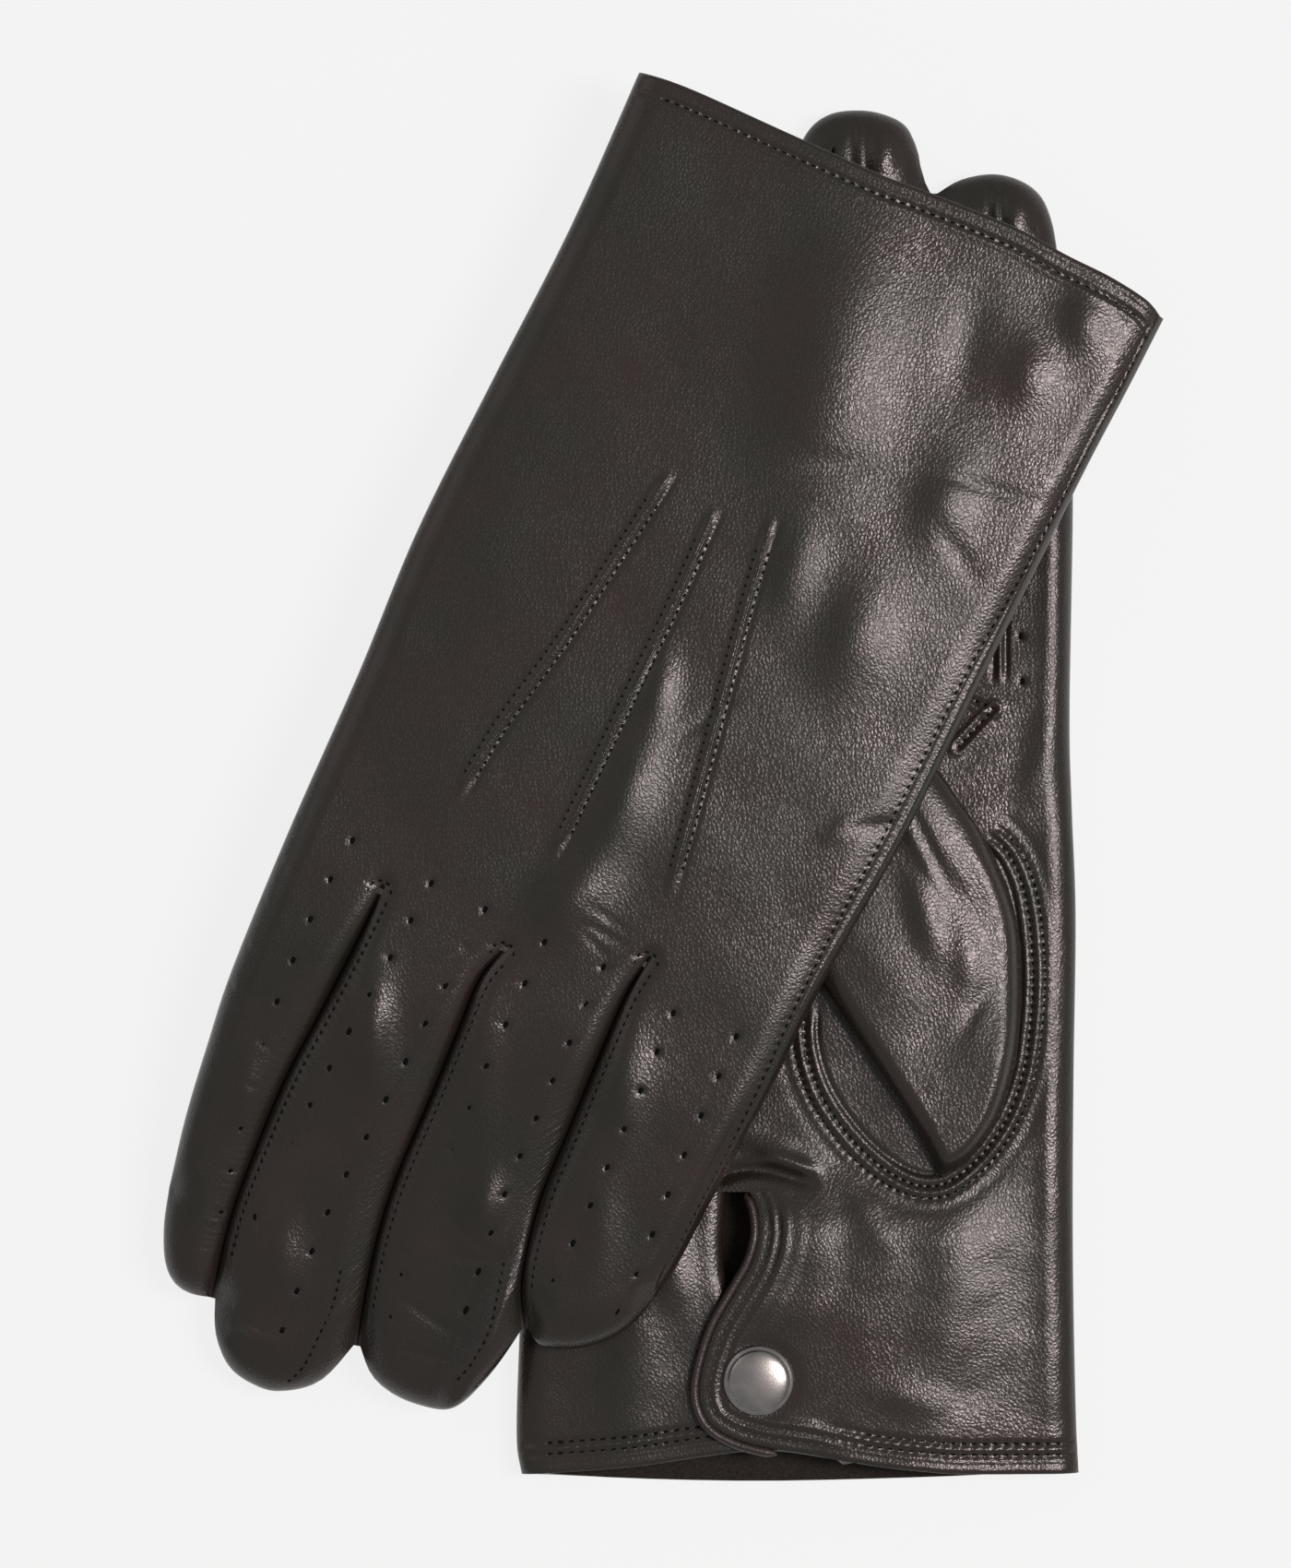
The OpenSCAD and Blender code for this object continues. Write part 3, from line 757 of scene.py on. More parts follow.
def tie_ends(line, first, last):
    """The line bent so that its ends meet the two given points."""
    share = np.linspace(0.0, 1.0, len(line))[:, None]
    head, tail = np.clip(1.0 - share / 0.3, 0.0, 1.0), np.clip(1.0 - (1.0 - share) / 0.3, 0.0, 1.0)
    return line + head ** 2 * (first - line[0]) + tail ** 2 * (last - line[-1])


GAP_CLEAR = 0.6        # half the space between the edges of two fingers at rest
HEM_ROLL = roll_steps(1.1, coarse=True)   # first rows of the grid at a rim that shows
TURN_IN = 3.4          # width of the palm leather turned in under the back
STRIP_POINTS = 81      # points along a side strip
STRIP_ROWS = 9


def finger_curves(glove, k, palm):
    """Bottom, top, left and right outline of one sheet of a finger."""
    seam, cut = (glove.outer, glove.cut_palm) if palm else (glove.lap, glove.cut_back)
    high, low = split_above(glove.fold, glove.cut[-1][1]), split_above(seam, glove.cut[0][1])
    if k > 0:
        high = shifted(glove.gaps[k - 1], GAP_CLEAR)
    if k < 3:
        low = shifted(glove.gaps[k], -GAP_CLEAR)
    bottom = between(cut, low[0][0], high[0][0])
    bottom[0], bottom[-1] = low[0], high[0]
    top = tie_ends(glove.tips[k][::-1], low[-1], high[-1])
    return bottom, top, low, high


def finger_steps(k, curves, step, coarse):
    wide = max(length_of(curves[0]), 18.0)
    gap, edge, tip = [roll_steps(radius, coarse) for radius in (GAP_R, FOLD_R, TIP_R)]
    u = ladder(wide, step, gap if k < 3 else edge, gap if k > 0 else edge)
    v = ladder(length_of(curves[2]), step if coarse else PUCKER_STEP, (), tip)
    return u, v


def step_for(facing_up):
    return FINE if facing_up else COARSE


def hand_back(glove):
    """The back of the hand, from the cuff to the line through the crotches of the fingers."""
    up = glove.palm_sign < 0
    step = step_for(up)
    low, high = split_below(glove.lap, glove.cut[0][1]), split_below(glove.fold, glove.cut[-1][1])
    curves = (tie_ends(glove.cuff, low[0], high[0]), glove.cut_back, low, high)
    u = ladder(103.0, step, roll_steps(OUTER_GRADE, not up), roll_steps(FOLD_R, not up))
    v = ladder(143.0, step, HEM_ROLL if up else ())
    build = Build()
    add_patch(build, glove, curves, u, v, back_height, up, after=True)
    piece = build.finish(glove.side + "_hand_back", glove.leather)
    settle(piece, glove, "hand", "glove_leather", "back_panel", "index_fold")


def settle(piece, glove, part, slot, *nodes):
    """Attaches a piece that rides with the hand to the hand; for any other part it works out that part's
    hinge span and bakes the piece's transform. Hides the CAD nodes given.
    """
    hand = glove.side + "_hand"
    if part == "hand":
        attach(piece, hand)
    else:
        start, end = hinge_span(glove, part)
        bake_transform(piece)
    if nodes:
        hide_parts(*[glove.side + "_" + node for node in nodes])


def hinge_span(glove, part):
    """Where a part starts to turn and where it has turned fully, as points of the row frame."""
    if part == "thumb":
        return glove.pin(42.0, 90.0), glove.pin(31.0, 90.0)
    if part == "flap":
        x, y = FLAP_ROOT - 1.0, 3.0
        return glove.pin(x, y), glove.pin(x - 9.27, y - 3.75)
    knuckle = glove.knuckle[1] if part == "little" else glove.knuckle[0]
    return glove.pin(10.0, knuckle - 6.0), glove.pin(10.0, knuckle + 6.0)


def finger_sheet(glove, k, palm):
    up = (glove.palm_sign > 0) == palm
    curves = finger_curves(glove, k, palm)
    u, v = finger_steps(k, curves, step_for(up), not up)
    build = Build()
    add_patch(build, glove, curves, u, v, palm_height if palm else back_height, up, before=True)
    label = FINGERS[k] + ("_palm" if palm else "_back")
    piece = build.finish(glove.side + "_" + label + "_leather", glove.leather)
    settle(piece, glove, FINGERS[k], "glove_leather", label)


def hand_palm(glove):
    """The palm: an underlap and a flap side below the top of the vent, and one sheet above it."""
    up = glove.palm_sign > 0
    low, high = split_below(glove.outer, glove.cut[0][1]), split_below(glove.fold, glove.cut[-1][1])
    cuff = tie_ends(spline(PALM_CUFF), low[0], high[0])
    build = Build()
    underlap(build, glove, cuff, low, up)
    beside_flap(build, glove, cuff, high, up)
    ends = [float(np.interp(VENT_TOP, line[:, 1], line[:, 0])) for line in (low, high)]
    across = np.array([(x, VENT_TOP) for x in (ends[0], UNDERLAP[-1][0], FLAP_ROOT, ends[1])])
    curves = (across, glove.cut_palm, band(low, VENT_TOP, low[-1, 1]), band(high, VENT_TOP, high[-1, 1]))
    u = ladder(ends[1] - ends[0], step_for(up), roll_steps(OUTER_GRADE, not up), roll_steps(FOLD_R, not up))
    v = ladder(90.0, step_for(up))
    add_patch(build, glove, curves, u, v, upper_palm_height, up, before=True, after=True)
    outer = band(glove.outer, glove.outer[0, 1], glove.cut[0][1])
    turned_edge(build, glove, outer, np.ones(len(outer)), 140.0)
    piece = build.finish(glove.side + "_hand_palm", glove.leather)
    settle(piece, glove, "hand", "glove_leather", "palm_panel")


def vent_steps(up):
    return ladder(VENT_TOP, step_for(up), HEM_ROLL if up else ())


def underlap(build, glove, cuff, low, up):
    """The palm on the little finger's side of the vent, which lies under the flap."""
    edge = spline(UNDERLAP)
    rim = between(cuff, cuff[0, 0], edge[0, 0])
    rim[-1] = edge[0]
    x_low = float(np.interp(VENT_TOP, low[:, 1], low[:, 0]))
    top = np.array([[x_low, VENT_TOP], edge[-1]])
    curves = (rim, top, band(low, low[0, 1], VENT_TOP), edge)
    wide = edge[-1][0] - x_low
    u = ladder(wide, step_for(up), roll_steps(OUTER_GRADE, not up), HEM_ROLL if up else ())
    add_patch(build, glove, curves, u, vent_steps(up), underlap_height, up, after=True)


def beside_flap(build, glove, cuff, high, up):
    """The palm on the index finger's side of the vent, which the flap grows out of."""
    x_high = float(np.interp(VENT_TOP, high[:, 1], high[:, 0]))
    rim = between(cuff, FLAP_ROOT, cuff[-1, 0])
    top = np.array([[FLAP_ROOT, VENT_TOP], [x_high, VENT_TOP]])
    root = np.array([[FLAP_ROOT, np.interp(FLAP_ROOT, cuff[:, 0], cuff[:, 1])], [FLAP_ROOT, VENT_TOP]])
    curves = (rim, top, root, band(high, high[0, 1], VENT_TOP))
    u = ladder(x_high - FLAP_ROOT, step_for(up), (), roll_steps(FOLD_R, not up))
    add_patch(build, glove, curves, u, vent_steps(up), near_flap_height, up, after=True)


def turned_edge(build, glove, outer, shares, length, nudge=0.0):
    """Palm leather turned up round the outer edge and in under the back. Its top may not be a point."""
    inner = outer + np.stack([TURN_IN * shares, np.zeros(len(outer))], axis=1)
    top = np.array([outer[-1], inner[-1] + nudge])
    u, v = ladder(TURN_IN, 0.6, (0.0, 0.05, 0.2, 0.45, 0.8)), ladder(length, 1.0)
    curves = (np.array([outer[0], inner[0]]), top, outer, inner)
    add_patch(build, glove, curves, u, v, under_lap_height, glove.palm_sign < 0)


def under_lap_height(glove, p):
    roll = 0.45 * hump(near(p, glove.outer, 5.0)[0] - 1.2, 0.7)
    return glove.palm_side(p, -outer_profile(glove, p) * (1.0 - lap_drop(glove, p)) - roll)


def little_turn_up(glove):
    """The same turned-up edge along the little finger."""
    build = Build()
    outer = split_above(glove.outer, glove.cut[0][1])
    turned_edge(build, glove, outer, 1.0 - np.linspace(0.0, 1.0, len(outer)) ** 6, 58.0, nudge=0.01)
    piece = build.finish(glove.side + "_little_turn_up", glove.leather)
    settle(piece, glove, "little", "glove_leather")


def side_strips(glove, k):
    """The fourchettes: narrow side walls of a finger, between its back and its palm."""
    build = Build()
    if k > 0:
        add_strip(build, glove, shifted(glove.gaps[k - 1], GAP_CLEAR), 1.0)
    if k < 3:
        add_strip(build, glove, shifted(glove.gaps[k], -GAP_CLEAR), -1.0)
    # The side walls take the darker side nappa: painted shade for the finger gaps.
    piece = build.finish(glove.side + "_" + FINGERS[k] + "_fourchettes", glove.side_leather)
    settle(piece, glove, FINGERS[k], "side_leather", FINGERS[k] + "_sides")


def add_strip(build, glove, line, outward):
    """One narrow wall along a line, bulging a little into the gap."""
    line = resample(line, count=STRIP_POINTS)
    rows = np.linspace(-1.0, 1.0, STRIP_ROWS)
    along = tangents(line)
    out = np.stack([along[:, 1], -along[:, 0]], axis=1) * outward
    bulge = (GAP_CLEAR + 0.02) * np.sqrt(1.0 - rows ** 2)
    p = line[:, None] + out[:, None] * bulge[None, :, None]
    half = np.maximum(outer_profile(glove, line) - 0.1, 0.05)
    grid = glove.world(p, glove.middle(line)[:, None] + half[:, None] * rows[None])
    normal = sheet_normals(grid, True)
    facing = np.pad(out @ np.stack([glove.x_axis, glove.y_axis]), ((0, 0), (0, 1)))
    up = bool((normal * facing[:, None]).sum() > 0)
    build.slab(grid, normal if up else -normal, up, thickness=SIDE_LEATHER)


# ---- Thumbs ----

THUMB_TOP = 11.2       # how far a thumb stands out from the middle plane
THUMB_FALL = 1.7       # how far it has come down where it meets its sewn edge
THUMB_MID = 7.6        # where its free edges lie
THUMB_SWELLS = [(21.5, 112, 10, 1.5, 118, 0.45), (24.8, 112.5, 8, 1.3, 115, 0.4),
                (28, 110, 7, 1.2, 118, 0.35), (22.5, 101, 8, 3.0, 105, 0.9), (29.5, 94, 7, 3.0, 100, 0.7),
                (24, 80, 8, 6.0, 120, -0.5), (14, 92, 12, 5.0, 125, 0.3), (16.5, 68, 6, 2.6, 128, 0.6),
                (31, 84, 5, 1.6, 60, -0.3)]
THUMB_RIM = (0.0, 0.3, 0.8, 1.5)   # first rows of the grid at both ends of a thumb


def loft(low, high, u, v):
    """A grid of points between two lines that share their ends."""
    a, b = at_share(low, v)[None], at_share(high, v)[None]
    return a + (b - a) * u[:, None, None]


def thumb_depth(glove, p, outer):
    """Depth of the thumb's outer or inner sheet. It grows out of the palm at its sewn edge."""
    from_low, run, _ = near(p, glove.thumb_low, 45.0)
    from_high = near(p, glove.thumb_high, 45.0)[0]
    sewn = smooth((119.0 - p[..., 1]) / 12.0)
    at_low = HAND_HALF + 0.1 + (THUMB_MID - HAND_HALF) * smooth(run / 14.0)
    at_high = HAND_HALF + 0.1 + (THUMB_MID - HAND_HALF) * (1.0 - sewn)
    share = from_low / (from_low + from_high + 1e-6)
    edge = at_low + (at_high - at_low) * smooth(share)
    if not outer:
        closed = (1.0 - fall(from_low / 4.0)) * (1.0 - fall(from_high / 3.0))
        return edge - (edge - HAND_HALF - 0.2) * closed
    closed = (1.0 - fall(from_low / 3.2)) * (1.0 - fall(from_high / (6.0 - 2.5 * sewn)))
    falls = smooth((122.0 - p[..., 1]) / 24.0) * smooth((p[..., 1] - 74.0) / 14.0)
    top = THUMB_TOP - THUMB_FALL * smooth((share - 0.35) / 0.65) * falls
    return edge + (top - edge + swells(p, THUMB_SWELLS)) * closed


def thumb(glove):
    """The two faces of the thumb; the outer one also stands for its side walls."""
    for face, outer in (("outer", True), ("inner", False)):
        up = (glove.palm_sign > 0) == outer
        step = step_for(up and outer)
        build = Build()
        u = ladder(34.0, step, roll_steps(6.0), roll_steps(6.0))
        v = ladder(100.0, step, THUMB_RIM, THUMB_RIM)
        flat = loft(glove.thumb_low, glove.thumb_high, u, 0.004 + 0.992 * v)
        grid = glove.world(flat, glove.mid + glove.palm_sign * thumb_depth(glove, flat, outer))
        build.slab(grid, sheet_normals(grid, up), up, thickness=THUMB_LEATHER)
        piece = build.finish(glove.side + "_thumb_" + face + "_leather", glove.leather)
        nodes = ["thumb_outer", "thumb_sides"] if outer else ["thumb_inner"]
        settle(piece, glove, "thumb", "glove_leather", *nodes)


# ---- Vent flap, its binding and the snap ----

FLAP_EDGE = [(-9.6, 51), (-8.2, 48.4), (-7.7, 43.6), (-9.0, 38.4), (-11.9, 33.2), (-15.5, 26.9),
             (-17.7, 20.3), (-18.5, 15.5), (-17.9, 11.9), (-15.9, 8.8), (-11.6, 6.4), (-6.4, 5.0), (0, 4.05),
             (10, 2.44)]
FLAP_ROWS = (2.1, 3.9)   # how far in from its edge the flap's rows of stitches lie
FLAP_CORNER = 9        # which point of the edge the sheet's corner is at
FLAP_RIM = (0.0, 0.1, 0.3, 0.6, 1.0)   # first rows of the grid along the flap's edge


def flap_edge_relief(p):
    """The flap's rolled edge, its two sunk rows and the soft ridges beside them."""
    edge = Seam(p, spline(FLAP_EDGE), 9.0, (0.5, 0.5))
    out = -0.35 * hump(edge.dist, 5.0) - 0.6 * fall(edge.dist)
    out += edge.groove(FLAP_ROWS[0], 0.4, 0.12) + edge.groove(FLAP_ROWS[1], 0.4, 0.18)
    out += 0.35 * hump(edge.dist - 3.0, 0.5) * edge.fade + 0.4 * hump(edge.dist - 5.0, 0.9)
    return out + 0.5 * hump(edge.dist - 7.0, 3.0) * smooth((p[..., 1] - 24.0) / 8.0)


def flap_height(glove, p):
    """The flap, running into the palm at its root and at the top of the vent."""
    snap = np.hypot(p[..., 0] - SNAP_AT[0], p[..., 1] - SNAP_AT[1])
    depth = HAND_HALF + flap_lift(p) + 0.15 * ripple(p, 2.2, 14.0) + flap_edge_relief(p)
    depth = depth - 0.25 * hump(snap - SNAP_R, 1.4)
    depth = depth + (near_flap_depth(glove, p) - depth) * smooth((p[..., 0] - 1.0) / 8.0)
    share = smooth((p[..., 1] - 45.0) / 6.0) * smooth((p[..., 0] + 9.0) / 5.0)
    return glove.palm_side(p, depth + (upper_palm_depth(glove, p) - depth) * share)


def vent_flap(glove):
    up = glove.palm_sign > 0
    left, bottom = spline(FLAP_EDGE[:FLAP_CORNER + 1])[::-1], spline(FLAP_EDGE[FLAP_CORNER:])
    top = np.array([left[-1], [FLAP_ROOT, VENT_TOP]])
    curves = (bottom, top, left, np.array([bottom[-1], top[-1]]))
    u, v = [ladder(size, FLAP_STEP if up else COARSE, FLAP_RIM) for size in (22.0, 46.0)]
    build = Build()
    add_patch(build, glove, curves, u, v, flap_height, up)
    piece = build.finish(glove.side + "_vent_flap_leather", glove.leather)
    settle(piece, glove, "flap", "glove_leather", "vent_flap")


def ring_faces(rings, sides, base=0):
    """Faces of a closed solid made of so many rings of vertices, the first of which is number base."""
    faces = [list(range(base, base + sides))[::-1]]
    for low in range(base, base + (rings - 1) * sides, sides):
        for i in range(sides):
            j = (i + 1) % sides
            faces.append([low + i, low + j, low + sides + j, low + sides + i])
    last = base + (rings - 1) * sides
    return faces + [list(range(last, last + sides))]


def circle(sides):
    return np.linspace(0.0, 2.0 * math.pi, sides, endpoint=False)


def level_frames(along):
    """Two unit directions across each given direction, the first of them level."""
    across = np.cross(along, [0.0, 0.0, 1.0])
    across /= np.linalg.norm(across, axis=1, keepdims=True)
    return across, np.cross(across, along)


def tube(path, radius, sides):
    """Vertices and faces of a round tube along a path, closed at both ends."""
    across, upward = level_frames(tangents(path))
    turns = circle(sides)[None, :, None]
    ring = across[:, None] * np.cos(turns) + upward[:, None] * np.sin(turns)
    verts = (path[:, None] + ring * radius[:, None, None]).reshape(-1, 3)
    return verts, ring_faces(len(path), sides)


def taper(line, over, least):
    """A share for each point of a line: 1, but falling off over this many points at both ends."""
    index = np.arange(len(line))
    return np.sqrt(np.clip(np.minimum(index, index[::-1]) / over, least, 1.0))


def plain_piece(name, verts, faces, material):
    mesh = bpy.data.meshes.new(name)
    mesh.from_pydata([tuple(v) for v in verts], [], faces)
    mesh.polygons.foreach_set("use_smooth", [True] * len(mesh.polygons))
    return link(name, mesh, material)


def binding(glove):
    """The rolled edge of the flap, from the top of the vent round to the cuff."""
    line = resample(spline(FLAP_EDGE), 0.45)
    line = line[line[:, 1] > 4.6]
    inside = shifted(line, -0.6, 0.5)
    z = flap_height(glove, inside) - glove.palm_sign * 0.4
    verts, faces = tube(glove.world(inside, z), BINDING_R * MM * taper(line, 4.0, 0.1), 12)
    piece = plain_piece(glove.side + "_rolled_edge", verts, faces, glove.binding)
    settle(piece, glove, "flap", "binding_leather", "vent_binding")


SNAP_RIM = [(6.0, -0.1), (6.3, 0.05), (SNAP_R, 0.3), (6.28, 0.55), (6.05, 0.75), (5.8, 0.86), (5.4, 1.04)]
SNAP_SIDES = 64


def snap_cap(glove, material):
    """A shallow dome with a rolled rim, turned from its profile of radii and heights."""
    wide, low = SNAP_RIM[-1]
    dome = [(wide * math.cos(t), low + 0.96 * math.sin(t)) for t in np.linspace(0.12, math.pi / 2, 14)]
    profile = SNAP_RIM + dome
    base = glove.mid + glove.palm_sign * (HAND_HALF + 2.1)
    turns = circle(SNAP_SIDES)
    verts = []
    for r, h in profile[:-1]:
        ring = SNAP_AT + r * np.stack([np.cos(turns), np.sin(turns)], axis=1)
        verts += list(glove.world(ring, np.full(SNAP_SIDES, base + glove.palm_sign * h)))
    peak = len(verts)
    verts.append(glove.world(np.array(SNAP_AT), np.array(base + glove.palm_sign * profile[-1][1])))
    *faces, rim = ring_faces(len(profile) - 1, SNAP_SIDES)
    faces += [[a, b, peak] for a, b in zip(rim, rim[1:] + rim[:1])]
    if glove.palm_sign < 0:
        faces = [f[::-1] for f in faces]
    piece = plain_piece(glove.side + "_snap_dome", verts, faces, material)
    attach(piece, glove.side + "_flap")
    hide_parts(glove.side + "_snap_cap")


# ---- Stitches and perforations ----

class Thread:
    """Short stitches on one face of a glove, gathered by the part that they ride with."""

    def __init__(self, glove, face):
        self.glove = glove
        self.face = face
        self.up = glove.palm_sign if face == "palm" else -glove.palm_sign
        self.height = upper_palm_height if face == "palm" else back_height
        self.parts = {}

    def row(self, part, line, pitch, height=None, share=0.55):
        """One row of stitches along a line; part is a name, or a function of a point that gives one."""
        total = length_of(line)
        middles = np.arange(pitch, total, pitch)
        ends = [at_share(line, np.clip((middles + k * share * pitch) / total, 0, 1)) for k in (-0.5, 0.5)]
        flat = np.stack(ends, axis=1)
        points = self.glove.world(flat, (height or self.height)(self.glove, flat))
        for pair, centre in zip(points, flat.mean(1)):
            name = part(centre) if callable(part) else part
            if name:
                self.parts.setdefault(name, []).append(pair)

    def build(self, material, flap_material=None):
        for part, pairs in self.parts.items():
            verts, faces = stitch_mesh(np.array(pairs), self.up)
            name = "_".join([self.glove.side, part, self.face, "stitches"])
            piece = plain_piece(name, verts, faces, flap_material if part == "flap" else material)
            settle(piece, self.glove, part, "binding_leather")


STITCH = np.array([(0.0, 0.35, -0.22), (0.12, 0.9, 0.0), (0.5, 1.0, 0.08), (0.88, 0.9, 0.0),
                   (1.0, 0.35, -0.22)])   # share of its length, share of the thread's radius, rise in mm
STITCH_SIDES = 6


def stitch_mesh(pairs, up):
    """A rounded, slightly arched dash for each pair of end points; up is 1 on a face that looks up."""
    along = pairs[:, 1] - pairs[:, 0]
    along /= np.linalg.norm(along, axis=1, keepdims=True)
    across, upward = level_frames(along)
    lift = upward * np.sign(upward[:, 2:]) * up
    verts, faces = [], []
    for n, (a, b) in enumerate(pairs):
        faces += ring_faces(len(STITCH), STITCH_SIDES, n * STITCH_SIDES * len(STITCH))
        for share, wide, high in STITCH:
            centre = a + (b - a) * share + lift[n] * high * MM
            for t in circle(STITCH_SIDES):
                turned = across[n] * math.cos(t) + upward[n] * math.sin(t)
                verts.append(centre + wide * THREAD_R * MM * turned)
    return verts, faces


def finger_at(glove, first):
    """Which part a row along a finger belongs to: the finger past its crotch, the hand before it."""
    def part(p):
        return FINGERS[first] if p[1] > np.interp(p[0], glove.cut[:, 0], glove.cut[:, 1]) else "hand"
    return part


def beside_gap(glove, k):
    """Which part the stitches round the closed end of gap k belong to."""
    def part(p):
        x = np.interp(p[1], glove.gaps[k][:, 1], glove.gaps[k][:, 0])
        return finger_at(glove, k if p[0] > x else k + 1)(p)
    return part


def point_folds(glove):
    """The thin sewn folds that stand up along the three points of the back."""
    verts, faces = [], []
    for points in POINTS:
        line = resample(spline(points), 0.6)[3:-8]
        path = glove.world(line, back_height(glove, line) - glove.palm_sign * 0.08)
        some, rings = tube(path, TUCK_R * MM * taper(line, 8.0, 0.05), 8)
        faces += [[i + len(verts) for i in ring] for ring in rings]
        verts += list(some)
    piece = plain_piece(glove.side + "_point_folds", verts, faces, glove.leather)
    settle(piece, glove, "hand", "glove_leather")


def back_rows(glove):
    thread = Thread(glove, "back")
    for points in POINTS:
        line = spline(points)
        thread.row("hand", shifted(line, 0.85, 0.1)[4:-4], GAP_PITCH)
        thread.row("hand", shifted(line, -1.45, 0.1)[4:-4], GAP_PITCH, share=0.35)
    gap_rows(glove, thread)
    for finger, points in zip(("middle", "ring"), TIP_SEAMS):
        thread.row(finger, spline(points), GAP_PITCH)
    thread.row(finger_at(glove, 3), shifted(glove.lap, LAP_ROW, 0.1)[2:-6], LAP_PITCH)
    thread.row("hand", inset(glove.cuff, HEM_ROWS[0])[2:-4], HEM_PITCH)
    return thread


def gap_rows(glove, thread):
    for k, gap in enumerate(glove.gaps):
        thread.row(finger_at(glove, k + 1), shifted(gap, GAP_ROW, 1.0)[1:-5], GAP_PITCH)
        thread.row(beside_gap(glove, k), crotch_hoop(gap), GAP_PITCH)


def palm_rows(glove):
    thread = Thread(glove, "palm")
    for offset in OVAL_ROWS:
        thread.row("hand", shifted(spline(OVAL), offset, 0.1)[2:-2], OVAL_PITCH)
    for points in QUIRK_ROWS:
        thread.row("hand", resample(points, 1.0), OVAL_PITCH)
    gap_rows(glove, thread)
    for depth in HEM_ROWS:
        row = inset(spline(PALM_CUFF), depth)
        thread.row("hand", row[(row[:, 0] < -12.0) & (row[:, 0] > -48.0)], HEM_PITCH, underlap_height)
        thread.row("hand", row[(row[:, 0] > FLAP_ROOT) & (row[:, 0] < 48.0)], HEM_PITCH, near_flap_height)
    for offset in FLAP_ROWS:
        thread.row("flap", shifted(spline(FLAP_EDGE), offset, 0.1)[4:-2], HEM_PITCH, flap_height)
    return thread


def inset(cuff, depth):
    """The line that runs a given depth in from the cuff."""
    return cuff + np.array([0.0, depth])


def perforations(glove, holes, height, face, material):
    """Dark plugs in every punched hole, a finger at a time: painted shade for the inside of each hole."""
    up = glove.palm_sign if face == "palm" else -glove.palm_sign
    for finger, rows in holes.items():
        parts = {}
        for spot in clear_spots(glove, hole_spots(rows)):
            parts.setdefault(finger_at(glove, FINGERS.index(finger))(spot), []).append(spot)
        for part, spots in parts.items():
            verts, faces = hole_mesh(glove, spots, height, up)
            name = "_".join([glove.side, finger, part, face, "holes"])
            settle(plain_piece(name, verts, faces, material), glove, part, "side_leather")


def clear_spots(glove, spots):
    """The holes that are well clear of the rolled outline."""
    spots = np.array(spots)
    return spots[outer_profile(glove, spots) > 0.75 * glove.half(spots)]


HOLE_SIDES = 16
HOLE_REACH = 1.3       # how far from a hole the tilt of the leather is measured


def hole_mesh(glove, spots, height, up):
    """Thin dark plugs, tilted with the leather round them: painted shade inside each hole."""
    turns = circle(HOLE_SIDES)
    oval = np.stack([HOLE_HALF[0] * np.cos(turns), HOLE_HALF[1] * np.sin(turns)], axis=1)
    verts, faces = [], []
    for spot in spots:
        rings = ring_faces(2, HOLE_SIDES, len(verts))
        faces += [ring[::-1] for ring in rings] if up > 0 else rings
        z = height(glove, spot + HOLE_REACH * np.array([[1.0, 0], [-1.0, 0], [0, 1.0], [0, -1.0]]))
        slope = np.clip((z[::2] - z[1::2]) / (2.0 * HOLE_REACH), -1.2, 1.2)
        for drop in (HOLE_DROP, HOLE_DROP + HOLE_DEPTH):
            verts += list(glove.world(spot + oval, z.mean() - up * drop + oval @ slope))
    return verts, faces


# ---- Materials ----

class Nodes:
    """A new material with a few short ways to add nodes."""

    def __init__(self, name):
        self.material = bpy.data.materials.new(name)
        self.material.use_nodes = True
        self.tree = self.material.node_tree
        self.shader = self.tree.nodes["Principled BSDF"]

    def add(self, kind, **inputs):
        node = self.tree.nodes.new("ShaderNode" + kind)
        return self.set(node, **inputs)

    def set(self, node, **inputs):
        for key, value in inputs.items():
            node.inputs[key.replace("_", " ")].default_value = value
        return node

    def join(self, out, into):
        self.tree.links.new(out, into)

    def noise(self, scale, detail, **inputs):
        """Noise laid out in the piece's own coordinates."""
        node = self.add("TexNoise", Scale=scale, Detail=detail, **inputs)
        self.join(self.add("TexCoord").outputs["Object"], node.inputs["Vector"])
        return node.outputs

    def ramp(self, source, stops):
        node = self.tree.nodes.new("ShaderNodeValToRGB")
        self.join(source, node.inputs[0])
        for element, (at, colour) in zip(node.color_ramp.elements, stops):
            element.position, element.color = at, colour
        return node.outputs[0]

    def bump(self, height, strength, distance):
        node = self.add("Bump", Strength=strength, Distance=distance)
        self.join(height, node.inputs["Height"])
        self.join(node.outputs["Normal"], self.shader.inputs["Normal"])

    def math(self, operation, a, b):
        node = self.tree.nodes.new("ShaderNodeMath")
        node.operation = operation
        for socket, value in zip(node.inputs, (a, b)):
            if isinstance(value, (int, float)):
                socket.default_value = value
            else:
                self.join(value, socket)
        return node.outputs[0]


def grey(value):
    return (value, value, value, 1.0)


def warped_pebbles(n, cell):
    """Rounded cells of about the size of leather's pebbles, with wavering borders."""
    shift = n.add("VectorMath")
    shift.operation = "MULTIPLY_ADD"
    n.join(n.noise(420.0, 2.0)["Color"], shift.inputs[0])
    shift.inputs[1].default_value = (0.0009, 0.0009, 0.0009)
    n.join(n.add("TexCoord").outputs["Object"], shift.inputs[2])
    pebble = n.add("TexVoronoi", Scale=cell)
    pebble.feature = "DISTANCE_TO_EDGE"
    n.join(shift.outputs[0], pebble.inputs["Vector"])
    return n.ramp(pebble.outputs["Distance"], [(0.0, grey(0.0)), (0.32, grey(1.0))])


